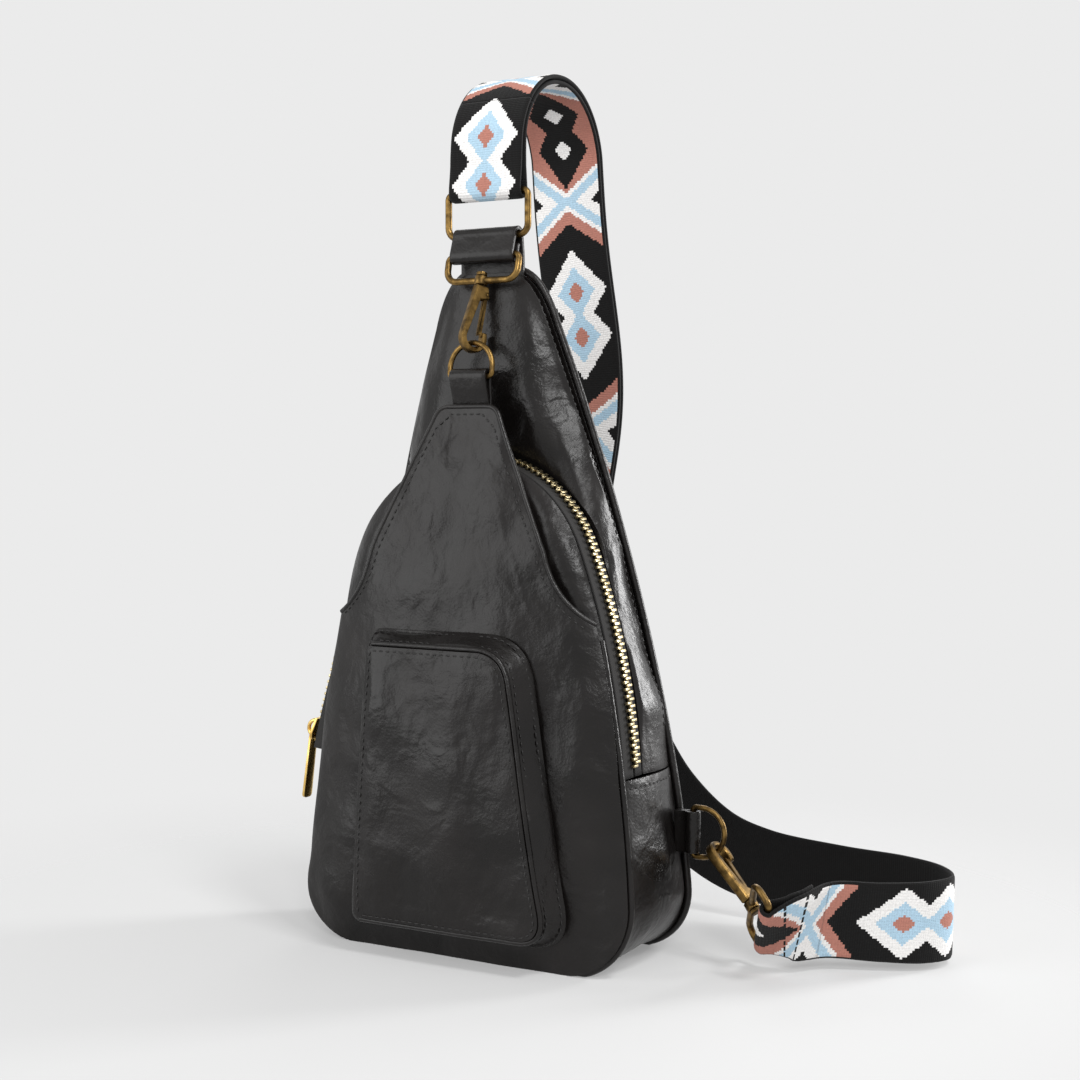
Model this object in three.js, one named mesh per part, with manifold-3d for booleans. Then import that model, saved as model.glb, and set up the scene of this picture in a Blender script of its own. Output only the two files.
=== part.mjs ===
// A tapering faux-leather sling bag: zipped body, clipped front tongue, box pocket and jacquard strap.
// Millimetres, +Z up, the front faces -Y, the origin is the middle of the base.
import * as THREE from 'three';
import Module from 'manifold-3d';
import { mergeVertices } from 'three/addons/utils/BufferGeometryUtils.js';

const wasm = await Module();
wasm.setup();
const { clamp, degToRad, lerp, smoothstep } = THREE.MathUtils;
const vec = (x, y, z) => new THREE.Vector3(x, y, z);

// Body outline, seen from the front
const BAG_HEIGHT = 296;
const BASE_HALF_WIDTH = 82.5;
const BASE_CORNER_R = 30;
const NECK_HALF_WIDTH = 29;
const NECK_HEIGHT = BAG_HEIGHT - 24;
const TOP_HALF_WIDTH = 10;
const TOP_CORNER_REACH = 22;
const FLANK_BELLY = -4;
const FLANK_UPRIGHT = 80;
const NECK_FLARE = 24;
// The stuffed left flank swells out behind the front seam, which is tucked in there
const LEFT_SWELL = 8;
const LEFT_TUCK = 4;
const FLANK_PEAK = 1 / 3;
const NECK_RISE = 67;

// Body depth, seen from the side
const BASE_DEPTH = 55;
const FRONT_LEAN = 6;
const TOP_BACK_Y = 3.2;
const BACK_BELLY = 4;
const FRONT_BELLY = 8.5;
const SIDE_BELLY = 1.5;
const NECK_BELLY = 4.5;

// Leather and seams
const LEATHER = 1.8;
const BASE_LEATHER = 2.2;
const SEAM_GAP = 0.35;
const OVERLAY_GAP = 1.25;
const SLACK = 0.3;
const PIPING_R = 1.4;

// Zip: a three-centred arch from foot to foot, with a slider at the left foot
const ZIP_FOOT_Z = 83;
const ZIP_APEX_Z = BAG_HEIGHT - 80;
const ZIP_CROWN_R = 59;
const ZIP_CROWN_ANGLE = 22;
const ZIP_SETBACK = 11.5;
const ZIP_HALF_TAPE = 7;
const TAPE_THICK = 0.9;
const TAPE_PARTING = 0.7;
const TOOTH_PITCH = 6.3;
const TOOTH_WIDTH = 1.7;
const TOOTH_REACH = 1.2;
const TOOTH_ROOT = 1.9;
const CHAIN_HALF = 3;
const CHAIN_THICK = 2.2;
const SLIDER_LENGTH = 11;
const SLIDER_HALF_WIDTH = 4.6;
const SLIDER_PLATE = 1.3;
const SLIDER_RISE = 7;
const BAIL_R = 0.9;
const BAIL_ARC_R = 3.9;
const PULL_LENGTH = 29;
const PULL_WIDTH = 6;
const PULL_THICK = 1.2;
const PULL_EYE_R = 1.5;
const PULL_HANG = 75;
const PULL_LIFT = -6;

// Tongue: the front overlay that narrows to a clipped tip
const FLARE_Z = BAG_HEIGHT - 149;
const TONGUE_SHOULDER_X = 43;
const TONGUE_SHOULDER_Z = BAG_HEIGHT - 120;
const TONGUE_TOP_Z = BAG_HEIGHT - 58.5;
const TONGUE_TOP_X = 17;
const TONGUE_CORNER = 6.5;
const TONGUE_TOP_Y = -19;
const TONGUE_LIFT_START = BAG_HEIGHT - 131;
const TONGUE_THICK = 2.2;

// Box pocket on the tongue panel
const POCKET_TOP_Z = 136;
const POCKET_BOTTOM_Z = 16;
const POCKET_TOP_HALF = 34;
const POCKET_LEFT_FOOT = 42;
const POCKET_RIGHT_FOOT = 53;
const POCKET_DEPTH = 11;
const POCKET_SLOPE = 6;
const POCKET_ROUND = 14;
const POCKET_SHARP = 3;
const POCKET_MOUTH = 1.2;

// Brass hardware
const WIRE_R = 1.5;
const BAR_SLACK = 0.35;
const STRAP_RING_LOW_Z = BAG_HEIGHT + 16;
const STRAP_RING_RISE = 19;
const STRAP_RING_Y = -4;
const RING_CORNER = 4.5;
const BAR_CORNER = 2.4;
const CLASP_BAR_Z = BAG_HEIGHT + 7.3;
const CLASP_BAR_Y = -7.2;
const CLASP_RISE = 11.3;
const CLASP_HALF = 17.8;
const CLASP_CORNER = 5.2;
const CLASP_TILT = 12.5;
const BOSS_R = 2.9;
const BOSS_HALF = 2;
const NECK_R = 1.2;
const HEAD_R = 2.4;
const HEAD_THICK = 1.3;
const HOOK_THICK = 4.2;
const HOOK_EYE_DROP = 23.6;
const HOOK_EYE_R = 4;
const HOOK_RIM = 2.5;
const HOOK_EYE_OFFSET = -1;
const HOOK_TIP_RISE = 3.1;
const HOOK_BLOCK = 6.5;
const HOOK_TOP_HALF = 2.6;
const GATE_SLOT = 2.5;
const GATE_THICK = 1.9;
const GATE_WIDTH = 1.8;
const GATE_PIN_R = 0.7;
const GATE_PIVOT_X = 3;
const GATE_PIVOT_DROP = 3.6;
const UPPER_SWIVEL = 66;
const D_WIRE_R = 1.3;
const D_HALF = 10.6;
const D_SIDE = 4.1;
const D_CORNER = 1.8;
const TAB_WIDTH = 18;
const TAB_LEATHER = 1.9;
const LOOP_LEATHER = 1.9;
const LOOP_TAIL = 14;
const SIDE_TAB_Z = 56;
const SIDE_TAB_REACH = 8.4;
const SIDE_TAB_INSET = 7;

// Strap: woven band, doubled from its ring to the adjuster behind the bag
const STRAP_WIDTH = 36;
const STRAP_THICK = 2.2;
const STRAP_SIDE_SLACK = 0.7;
const ARCH_R = 37;
const ARCH_CENTRE_Z = BAG_HEIGHT + 52;
const ADJUSTER_Z = 168;
const ADJUSTER_HALF_RISE = 12.5;
const ADJUSTER_BAR_R = 1.3;
const REAR_RUN_Y = 78;
const FOLD_BACK = 20;

// Materials
const finish = (color, roughness, metalness) => new THREE.MeshStandardMaterial({ color, roughness, metalness });
const LEATHER_BLACK = finish(0x1d1a19, 0.38, 0);
const TAPE_BLACK = finish(0x141312, 0.85, 0);
const BRASS_ANTIQUE = finish(0x9a7434, 0.38, 1);
const BRASS_BRIGHT = finish(0xd9b45c, 0.25, 1);
const WEBBING = finish(0xb98a80, 0.9, 0);

const bag = new THREE.Group();

function place(parent, name, geometry, material) {
  const mesh = new THREE.Mesh(geometry, material);
  mesh.name = name;
  parent.add(mesh);
  return mesh;
}

// Skins closed rings of points into one solid. The first half of a ring is one face of the section and the
// second half, in reverse order, the other, so a flat end is capped by quads across the ring.
function skin(rings, looped = false) {
  const count = rings[0].length;
  const points = rings.flat();
  const faces = [];
  const quad = (a, b, c, d) => faces.push(a, b, c, a, c, d);
  const last = looped ? rings.length : rings.length - 1;
  for (let r = 0; r < last; r += 1) {
    const here = r * count;
    const next = ((r + 1) % rings.length) * count;
    for (let i = 0; i < count; i += 1) {
      const j = (i + 1) % count;
      quad(here + i, here + j, next + j, next + i);
    }
  }
  if (!looped) {
    const end = (rings.length - 1) * count;
    for (let i = 0; i < count / 2 - 1; i += 1) {
      quad(count - 1 - i, count - 2 - i, i + 1, i);
      quad(end + i, end + i + 1, end + count - 2 - i, end + count - 1 - i);
    }
  }
  return facingOut(points, faces);
}

// Builds a geometry from points and triangles, turned so that its faces point outwards.
function facingOut(points, faces) {
  let volume = 0;
  for (let f = 0; f < faces.length; f += 3) {
    const [a, b, c] = [points[faces[f]], points[faces[f + 1]], points[faces[f + 2]]];
    volume += a.dot(b.clone().cross(c));
  }
  const ordered = volume < 0 ? faces.slice().reverse() : faces;
  const geometry = new THREE.BufferGeometry();
  geometry.setAttribute('position', new THREE.Float32BufferAttribute(points.flatMap((p) => [p.x, p.y, p.z]), 3));
  geometry.setIndex(ordered);
  return geometry;
}

// A leather panel: the outer face at(u, v), thickened towards the point `inside`.
function panel(at, thickness, across, along, inside, looped = false) {
  const step = 1e-3;
  const slope = (u, v, du, dv) => at(clamp(u + du, 0, 1), clamp(v + dv, 0, 1));
  const inner = (u, v) => {
    const p = at(u, v);
    const alongU = looped
      ? at((u + step) % 1, v).sub(at((u + 1 - step) % 1, v))
      : slope(u, v, step, 0).sub(slope(u, v, -step, 0));
    const alongV = slope(u, v, 0, step).sub(slope(u, v, 0, -step));
    const normal = alongU.cross(alongV).normalize();
    if (normal.dot(inside.clone().sub(p)) < 0) normal.negate();
    return p.addScaledVector(normal, thickness);
  };
  const rings = [];
  const rows = looped ? across - 1 : across;
  for (let r = 0; r <= rows; r += 1) {
    const u = r / across;
    const outerRow = Array.from({ length: along + 1 }, (_, k) => at(u, k / along));
    const innerRow = Array.from({ length: along + 1 }, (_, k) => inner(u, 1 - k / along));
    rings.push([...outerRow, ...innerRow]);
  }
  return skin(rings, looped);
}

// A round wire along a flat path in the X-Z plane, closed on itself.
function wireLoop(points, radius, sides = 6) {
  const rings = points.map((p, i) => {
    const before = points[(i + points.length - 1) % points.length];
    const after = points[(i + 1) % points.length];
    const tangent = after.clone().sub(before).normalize();
    return Array.from({ length: sides }, (_, k) => {
      const angle = ((k + 0.5) / sides) * 2 * Math.PI;
      const out = radius * Math.cos(angle);
      return vec(p.x + tangent.y * out, radius * Math.sin(angle), p.y - tangent.x * out);
    });
  });
  return skin(rings, true);
}

function pathPoints(path, divisions) {
  const points = path.getPoints(divisions);
  const distinct = points.filter((p, i) => i === 0 || p.distanceTo(points[i - 1]) > 1e-4);
  if (distinct[0].distanceTo(distinct.at(-1)) < 1e-4) distinct.pop();
  return distinct;
}

// A rectangle with round corners, centred on X, from its lower bar up.
function roundedBar(half, low, high, lowCorner, topCorner) {
  const path = new THREE.Path();
  const turn = Math.PI / 2;
  path.moveTo(-half + lowCorner, low);
  path.lineTo(half - lowCorner, low);
  path.absarc(half - lowCorner, low + lowCorner, lowCorner, -turn, 0);
  path.lineTo(half, high - topCorner);
  path.absarc(half - topCorner, high - topCorner, topCorner, 0, turn);
  path.lineTo(-half + topCorner, high);
  path.absarc(-half + topCorner, high - topCorner, topCorner, turn, 2 * turn);
  path.lineTo(-half, low + lowCorner);
  path.absarc(-half + lowCorner, low + lowCorner, lowCorner, 2 * turn, 3 * turn);
  return path;
}

function solid(geometry) {
  const plain = geometry.clone();
  plain.deleteAttribute('normal');
  plain.deleteAttribute('uv');
  const welded = mergeVertices(plain, 1e-4);
  const vertProperties = new Float32Array(welded.attributes.position.array);
  const triVerts = new Uint32Array(welded.index.array);
  return new wasm.Manifold(new wasm.Mesh({ numProp: 3, vertProperties, triVerts }));
}

function geometryOf(manifold) {
  const mesh = manifold.getMesh();
  const geometry = new THREE.BufferGeometry();
  const positions = new Float32Array(mesh.vertProperties.length);
  positions.set(mesh.vertProperties);
  geometry.setAttribute('position', new THREE.BufferAttribute(positions, 3));
  geometry.setIndex(Array.from(mesh.triVerts));
  return geometry;
}

// An upright or lying cylinder from one point to another.
function rod(from, to, radius, sides = 10) {
  const length = from.distanceTo(to);
  const geometry = new THREE.CylinderGeometry(radius, radius, length, sides);
  const turn = new THREE.Quaternion().setFromUnitVectors(vec(0, 1, 0), to.clone().sub(from).normalize());
  geometry.applyQuaternion(turn);
  const middle = from.clone().lerp(to, 0.5);
  return geometry.translate(middle.x, middle.y, middle.z);
}

// Outlines of the body: the right half, from the base upwards, as points of x and z
const flankHigh = new THREE.Vector2(NECK_HALF_WIDTH, NECK_HEIGHT);
const bodyPath = new THREE.Path();
bodyPath.moveTo(BASE_HALF_WIDTH - BASE_CORNER_R, 0);
bodyPath.absarc(BASE_HALF_WIDTH - BASE_CORNER_R, BASE_CORNER_R, BASE_CORNER_R, -Math.PI / 2, 0);
bodyPath.bezierCurveTo(
  BASE_HALF_WIDTH + FLANK_BELLY, BASE_CORNER_R + FLANK_UPRIGHT,
  NECK_HALF_WIDTH + NECK_FLARE, NECK_HEIGHT - NECK_RISE,
  flankHigh.x, flankHigh.y,
);
bodyPath.quadraticCurveTo(TOP_CORNER_REACH, BAG_HEIGHT, TOP_HALF_WIDTH, BAG_HEIGHT);
const bodyOutline = pathPoints(bodyPath, 48);

// The half width of an outline at a height.
function halfWidthAt(outline, z) {
  for (let i = 1; i < outline.length; i += 1) {
    const [a, b] = [outline[i - 1], outline[i]];
    if (z <= b.y && b.y > a.y) return lerp(a.x, b.x, clamp((z - a.y) / (b.y - a.y), 0, 1));
  }
  return outline.at(-1).x;
}
const bodyHalf = (z) => halfWidthAt(bodyOutline, z);

// The zip arch: a crown arc and two long leg arcs that touch it without a corner
const footX = bodyHalf(ZIP_FOOT_Z);
const crownAngle = degToRad(ZIP_CROWN_ANGLE);
const crownZ = ZIP_APEX_Z - ZIP_CROWN_R;
const legTop = new THREE.Vector2(Math.cos(crownAngle), Math.sin(crownAngle)).multiplyScalar(ZIP_CROWN_R);
legTop.y += crownZ;
const legNormal = new THREE.Vector2(Math.cos(crownAngle), Math.sin(crownAngle));
function legArc(x) {
  const chord = new THREE.Vector2(x, ZIP_FOOT_Z).sub(legTop);
  const radius = -chord.lengthSq() / (2 * chord.dot(legNormal));
  const centre = legTop.clone().addScaledVector(legNormal, -radius);
  return { radius, centre, foot: Math.asin((ZIP_FOOT_Z - centre.y) / radius) };
}
const rightLeg = legArc(footX);
const leftLeg = legArc(footX + LEFT_SWELL);
const leftCentre = new THREE.Vector2(-leftLeg.centre.x, leftLeg.centre.y);
const archPath = new THREE.Path();
archPath.absarc(leftCentre.x, leftCentre.y, leftLeg.radius, Math.PI - leftLeg.foot, Math.PI - crownAngle, true);
archPath.absarc(0, crownZ, ZIP_CROWN_R, Math.PI - crownAngle, crownAngle, true);
archPath.absarc(rightLeg.centre.x, rightLeg.centre.y, rightLeg.radius, crownAngle, rightLeg.foot, true);
const archLength = archPath.getLength();

function archHalf(z) {
  if (z >= legTop.y) return Math.sqrt(Math.max(ZIP_CROWN_R ** 2 - (z - crownZ) ** 2, 0));
  return rightLeg.centre.x + Math.sqrt(rightLeg.radius ** 2 - (z - rightLeg.centre.y) ** 2);
}
const frontHalf = (z) => (z <= ZIP_FOOT_Z ? bodyHalf(z) : archHalf(z));
const tuck = (z) => LEFT_TUCK * smoothstep(z, 8, 40) * (1 - smoothstep(z, FLARE_Z - 17, TONGUE_SHOULDER_Z));
const swell = (z) => LEFT_SWELL * smoothstep(z, 4, 50);

// A place across a front panel, from -1 at its left edge to 1 at its right edge
const frontX = (side, half, z) => side * (half - (side < 0 ? tuck(z) : 0));

// A point of the arch and its outward direction, at a share of the way from the left foot to the right
function archFrame(share) {
  const at = archPath.getPointAt(clamp(share, 0, 1));
  const centre = Math.abs(at.x) < legTop.x && at.y > legTop.y
    ? new THREE.Vector2(0, crownZ)
    : at.x > 0 ? rightLeg.centre : leftCentre;
  return { at, out: at.clone().sub(centre).normalize() };
}

// Depth of the seams, the zip and the panels
const frontSeam = (z) => -BASE_DEPTH / 2 + (FRONT_LEAN * z) / ZIP_APEX_Z;
const zipLine = (z) => frontSeam(z) + ZIP_SETBACK;
const backFace = (z) => lerp(BASE_DEPTH / 2, TOP_BACK_Y, z / BAG_HEIGHT);
const flatTop = (share) => 1 - Math.abs(share) ** 4;

function frontFace(x, z) {
  const half = Math.max(frontHalf(z) - (x < 0 ? tuck(z) : 0), 1);
  return frontSeam(z) - FRONT_BELLY * flatTop(clamp(x / half, -1, 1)) * flatTop((2 * z) / ZIP_APEX_Z - 1);
}

// The tongue lies on the front panel and then runs straight on over the zip to its tip
function tongueBack(x, z) {
  const onPanel = z < ZIP_APEX_Z ? frontFace(x, z) - OVERLAY_GAP : Infinity;
  const liftY = frontFace(0, TONGUE_LIFT_START) - OVERLAY_GAP;
  const share = (z - TONGUE_LIFT_START) / (TONGUE_TOP_Z - TONGUE_LIFT_START);
  const free = lerp(liftY, TONGUE_TOP_Y, share);
  if (onPanel === Infinity) return free;
  return Math.min(lerp(onPanel, free, smoothstep(z, TONGUE_LIFT_START, ZIP_APEX_Z)), onPanel);
}
const tongueFace = (x, z) => tongueBack(x, z) - TONGUE_THICK;

// Heights of a panel's rows, closer together near both ends where the outline turns
const easedHeight = (low, high, v) => lerp(low, high, v - 0.12 * Math.sin(2 * Math.PI * v));

const BAG_MIDDLE = vec(0, 0, BAG_HEIGHT * 0.4);
const EDGE = 0.15;

function addBackPanel() {
  const at = (u, v) => {
    const z = easedHeight(EDGE, BAG_HEIGHT - EDGE, v);
    const side = 2 * u - 1;
    const belly = BACK_BELLY * (1 - side ** 2) * Math.sin(Math.PI * Math.sqrt(v)) ** 2;
    return vec(side * bodyHalf(z), backFace(z) + belly, z);
  };
  place(bag, 'back_panel', panel(at, LEATHER, 8, 12, BAG_MIDDLE), LEATHER_BLACK);
}

function addFrontPanel() {
  const at = (u, v) => {
    const z = easedHeight(EDGE, ZIP_APEX_Z - EDGE, v);
    const x = frontX(2 * u - 1, frontHalf(z), z);
    return vec(x, frontFace(x, z), z);
  };
  place(bag, 'front_panel', panel(at, LEATHER, 8, 12, BAG_MIDDLE), LEATHER_BLACK);
}

// The base and lower sides: one band between the front and back seams, with a flat bottom
function addLowerGusset() {
  const top = ZIP_FOOT_Z - SEAM_GAP;
  const right = bodyOutline.filter((p) => p.y < top);
  right.push(new THREE.Vector2(bodyHalf(top), top));
  const kept = right.filter((p, i) => i % 8 === 0 || i === right.length - 1);
  const left = kept.map((p) => new THREE.Vector2(-p.x, p.y)).reverse();
  const band = [...left, ...kept];
  const at = (u, v) => {
    const place01 = clamp(u, 0, 1) * (band.length - 1);
    const i = Math.min(Math.floor(place01), band.length - 2);
    const p = band[i].clone().lerp(band[i + 1], place01 - i);
    const front = frontSeam(p.y) + LEATHER + SEAM_GAP;
    const back = backFace(p.y) - LEATHER - SEAM_GAP;
    const out = v < FLANK_PEAK ? v / FLANK_PEAK : (1 - v) / (1 - FLANK_PEAK);
    const tucked = tuck(p.y) * Math.max(1 - v / FLANK_PEAK, 0);
    const x = p.x < 0 ? p.x + tucked - swell(p.y) * Math.sin((Math.PI / 2) * out) : p.x;
    return vec(x, lerp(front, back, v), p.y);
  };
  const middle = vec(0, 0, ZIP_FOOT_Z);
  place(bag, 'lower_gusset', panel(at, BASE_LEATHER, band.length - 1, 3, middle), LEATHER_BLACK);
}

// The upper panel: from behind the zip it turns from the bag's sides into the front of its neck
function addUpperPanel() {
  const onSeam = (at) => {
    if (at.y <= legTop.y) return { p: new THREE.Vector2(Math.sign(at.x) * bodyHalf(at.y), at.y), rise: 0 };
    const ray = at.clone().sub(new THREE.Vector2(0, crownZ)).normalize();
    let [near, far] = [ZIP_CROWN_R * 0.5, BAG_HEIGHT];
    for (let n = 0; n < 40; n += 1) {
      const mid = (near + far) / 2;
      const z = crownZ + ray.y * mid;
      const inside = z < BAG_HEIGHT && Math.abs(ray.x * mid) < bodyHalf(z);
      if (inside) near = mid;
      else far = mid;
    }
    return { p: new THREE.Vector2(ray.x * near, crownZ + ray.y * near), rise: ray.y };
  };
  const neckGap = LOOP_LEATHER + 3 * SEAM_GAP + LEATHER;
  const at = (u, v) => {
    const { at: a } = archFrame(u);
    const { p, rise } = onSeam(a);
    const front = zipLine(a.y) + ZIP_HALF_TAPE + SLACK;
    const back = backFace(p.y) - LEATHER - SEAM_GAP - neckGap * rise ** 2;
    const swell = Math.sin(Math.PI * v);
    const x = lerp(a.x, p.x, v) + Math.sign(a.x) * SIDE_BELLY * swell * (1 - rise);
    return vec(x, lerp(front, back, v) - NECK_BELLY * swell * rise ** 2, lerp(a.y, p.y, v));
  };
  // The inner side lies towards a point behind the neck, so that it is the same side all round
  const behindNeck = vec(0, BASE_DEPTH * 0.75, BAG_HEIGHT * 0.6);
  place(bag, 'upper_panel', panel(at, LEATHER, 28, 4, behindNeck), LEATHER_BLACK);
}

// A thin cord of piping round the back seam, which steps behind the panel along the base
function addPiping() {
  const right = bodyOutline.filter((p, i) => i % 8 === 0 || i === bodyOutline.length - 1);
  const left = right.map((p) => new THREE.Vector2(-p.x, p.y)).reverse();
  const outline = [...right, ...left];
  const away = PIPING_R + SLACK * 1.6;
  const rings = outline.map((p, i) => {
    const before = outline[(i + outline.length - 1) % outline.length];
    const after = outline[(i + 1) % outline.length];
    const along = after.clone().sub(before).normalize();
    const out = vec(along.y, 0, -along.x);
    const behind = Math.max(-out.z, 0);
    const z = Math.max(p.y + away * Math.max(out.z, 0), away);
    const y = backFace(p.y) - LEATHER * 0.5 * (1 - behind) + away * behind * 1.4;
    const centre = vec(p.x + out.x * away, y, z);
    const tangent = vec(along.x, 0, along.y);
    const side = vec(0, 1, 0).cross(tangent);
    return Array.from({ length: 6 }, (_, k) => {
      const angle = (k / 6) * 2 * Math.PI;
      const spoke = side.clone().multiplyScalar(PIPING_R * Math.cos(angle));
      return centre.clone().add(spoke).add(vec(0, PIPING_R * Math.sin(angle), 0));
    });
  });
  place(bag, 'back_piping', skin(rings, true), LEATHER_BLACK);
}

// Zip tapes, and rows of teeth that mesh along the closed arch
function addZip() {
  const tape = (name, low, high, rows) => {
    const at = (u, v) => {
      const { at: p, out } = archFrame(u);
      const y = zipLine(p.y) + lerp(low, high, v);
      // On the left leg the front tape runs in to the tucked seam
      const reach = p.x < 0 && low < -ZIP_HALF_TAPE ? -p.x - archHalf(p.y) + tuck(p.y) : 0;
      return vec(p.x - out.x * SLACK + reach * Math.max(1 - 2 * v, 0), y, p.y - out.y * SLACK);
    };
    place(bag, name, panel(at, TAPE_THICK, 26, rows, vec(0, 0, crownZ)), TAPE_BLACK);
  };
  const frontEdge = -ZIP_SETBACK + LEATHER + SEAM_GAP;
  tape('zip_tape_front', frontEdge, -TAPE_PARTING, 2);
  tape('zip_tape_rear', TAPE_PARTING, ZIP_HALF_TAPE, 1);

  const sliderShare = (SLIDER_RISE + SLIDER_LENGTH * 0.5) / archLength;
  const row = (name, side, shift) => {
    const start = sliderShare * archLength + shift;
    const count = Math.floor((archLength - start - TOOTH_PITCH) / TOOTH_PITCH);
    const point = (along, across, height) => {
      const { at: p, out } = archFrame(along / archLength);
      const lift = height;
      return vec(p.x + out.x * lift, zipLine(p.y) + side * across, p.y + out.y * lift);
    };
    const points = [];
    const faces = [];
    const quad = (a, b, c, d) => faces.push(a, b, c, a, c, d);
    // Each pitch adds a column at the start and the end of its tooth: root, neck and tip, above and below
    const column = (along) => {
      const first = points.length;
      for (const height of [0, CHAIN_THICK]) {
        points.push(point(along, CHAIN_HALF, height));
        points.push(point(along, TOOTH_ROOT, height));
        points.push(point(along, -TOOTH_REACH, height));
      }
      return first;
    };
    const strip = (a, b, withTooth) => {
      quad(a, b, b + 1, a + 1);
      quad(a + 3, a + 4, b + 4, b + 3);
      quad(a, a + 3, b + 3, b);
      if (!withTooth) {
        quad(a + 1, b + 1, b + 4, a + 4);
        return;
      }
      quad(a + 1, b + 1, b + 2, a + 2);
      quad(a + 4, a + 5, b + 5, b + 4);
      quad(a + 2, b + 2, b + 5, a + 5);
      quad(a + 1, a + 2, a + 5, a + 4);
      quad(b + 1, b + 4, b + 5, b + 2);
    };
    let last = null;
    for (let k = 0; k <= count; k += 1) {
      const from = column(start + k * TOOTH_PITCH);
      const to = column(start + k * TOOTH_PITCH + TOOTH_WIDTH);
      if (last !== null) strip(last, from, false);
      else quad(from, from + 1, from + 4, from + 3);
      strip(from, to, true);
      last = to;
    }
    quad(last, last + 3, last + 4, last + 1);
    place(bag, name, facingOut(points, faces), BRASS_ANTIQUE);
  };
  row('zip_teeth_front', -1, 0);
  row('zip_teeth_rear', 1, TOOTH_PITCH / 2);
}

// The slider: two plates joined by a post at its lower end, with a bail for the pull
function addSlider() {
  const { at, out } = archFrame(SLIDER_RISE / archLength);
  const frame = new THREE.Group();
  frame.name = 'slider_frame';
  const up = vec(out.y, 0, -out.x).multiplyScalar(out.x < 0 ? 1 : -1);
  const axes = new THREE.Matrix4().makeBasis(vec(out.x, 0, out.y), vec(0, 1, 0).multiplyScalar(-1), up);
  frame.quaternion.setFromRotationMatrix(axes);
  frame.position.set(at.x, zipLine(at.y), at.y);
  bag.add(frame);

  const outline = new THREE.Shape();
  const end = SLIDER_LENGTH / 2;
  outline.moveTo(-SLIDER_HALF_WIDTH * 0.55, end);
  outline.lineTo(-SLIDER_HALF_WIDTH, -end * 0.2);
  outline.quadraticCurveTo(-SLIDER_HALF_WIDTH, -end, 0, -end);
  outline.quadraticCurveTo(SLIDER_HALF_WIDTH, -end, SLIDER_HALF_WIDTH, -end * 0.2);
  outline.lineTo(SLIDER_HALF_WIDTH * 0.55, end);
  const plate = (low) => {
    const flat = new THREE.ExtrudeGeometry(outline, { depth: SLIDER_PLATE, bevelEnabled: false, curveSegments: 4 });
    return solid(flat.rotateX(Math.PI / 2).rotateZ(Math.PI / 2).translate(low, 0, 0));
  };
  const above = CHAIN_THICK + SLACK;
  const below = -SLACK * 2 - TAPE_THICK - SLIDER_PLATE;
  const post = new THREE.BoxGeometry(above - below + SLIDER_PLATE, TAPE_PARTING * 0.8, 2.6);
  post.translate((above + below + SLIDER_PLATE) / 2, 0, -end + 1.6);
  const bailX = above + SLIDER_PLATE + SLACK;
  const bailPoints = [vec(bailX - SLACK - 0.6, 0, BAIL_ARC_R)];
  for (let k = 0; k <= 8; k += 1) {
    const angle = (0.5 - k / 8) * Math.PI;
    bailPoints.push(vec(bailX + BAIL_ARC_R * Math.cos(angle), 0, BAIL_ARC_R * Math.sin(angle)));
  }
  bailPoints.push(vec(bailX - SLACK - 0.6, 0, -BAIL_ARC_R));
  const bailPath = new THREE.CatmullRomCurve3(bailPoints, false, 'centripetal');
  const bailSection = new THREE.Shape().absarc(0, 0, BAIL_R, 0, 2 * Math.PI);
  const bail = new THREE.ExtrudeGeometry(bailSection, { steps: 10, extrudePath: bailPath, curveSegments: 6 });
  const body = plate(above).add(plate(below)).add(solid(post)).add(solid(bail));
  place(frame, 'zip_slider', geometryOf(body), BRASS_BRIGHT);
  addPull(frame, bailX);
}

// The pull: a slim bar with a round eye on the slider's bail, hanging down beside the bag
function addPull(frame, bailX) {
  const hang = new THREE.Group();
  hang.name = 'pull_frame';
  hang.position.set(bailX, 0, 0);
  hang.rotation.y = -degToRad(PULL_LIFT);
  frame.add(hang);
  const eyeX = BAIL_ARC_R * Math.cos(degToRad(PULL_HANG));
  const eyeZ = -BAIL_ARC_R * Math.sin(degToRad(PULL_HANG));
  const outline = new THREE.Shape();
  const half = PULL_WIDTH / 2;
  const neck = PULL_EYE_R + 1;
  const low = -PULL_LENGTH;
  outline.moveTo(-neck, 0);
  outline.lineTo(-half, low + 2);
  outline.quadraticCurveTo(-half, low, -half + 2, low);
  outline.lineTo(half - 2, low);
  outline.quadraticCurveTo(half, low, half, low + 2);
  outline.lineTo(neck, 0);
  outline.absarc(0, 0, neck, 0, Math.PI);
  const bar = new THREE.ExtrudeGeometry(outline, { depth: PULL_THICK, bevelEnabled: false, curveSegments: 5 });
  bar.rotateX(Math.PI / 2).rotateZ(Math.PI / 2).translate(-PULL_THICK / 2, 0, 0);
  const recess = new THREE.BoxGeometry(PULL_THICK * 0.5, PULL_WIDTH - 2.4, PULL_LENGTH * 0.26);
  recess.translate(PULL_THICK * 0.5, 0, low * 0.8);
  const eye = rod(vec(-PULL_THICK, 0, 0), vec(PULL_THICK, 0, 0), PULL_EYE_R, 10);
  const body = solid(bar).subtract(solid(recess)).subtract(solid(eye));
  place(hang, 'zip_pull', geometryOf(body).translate(eyeX, 0, eyeZ), BRASS_BRIGHT);
}

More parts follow.
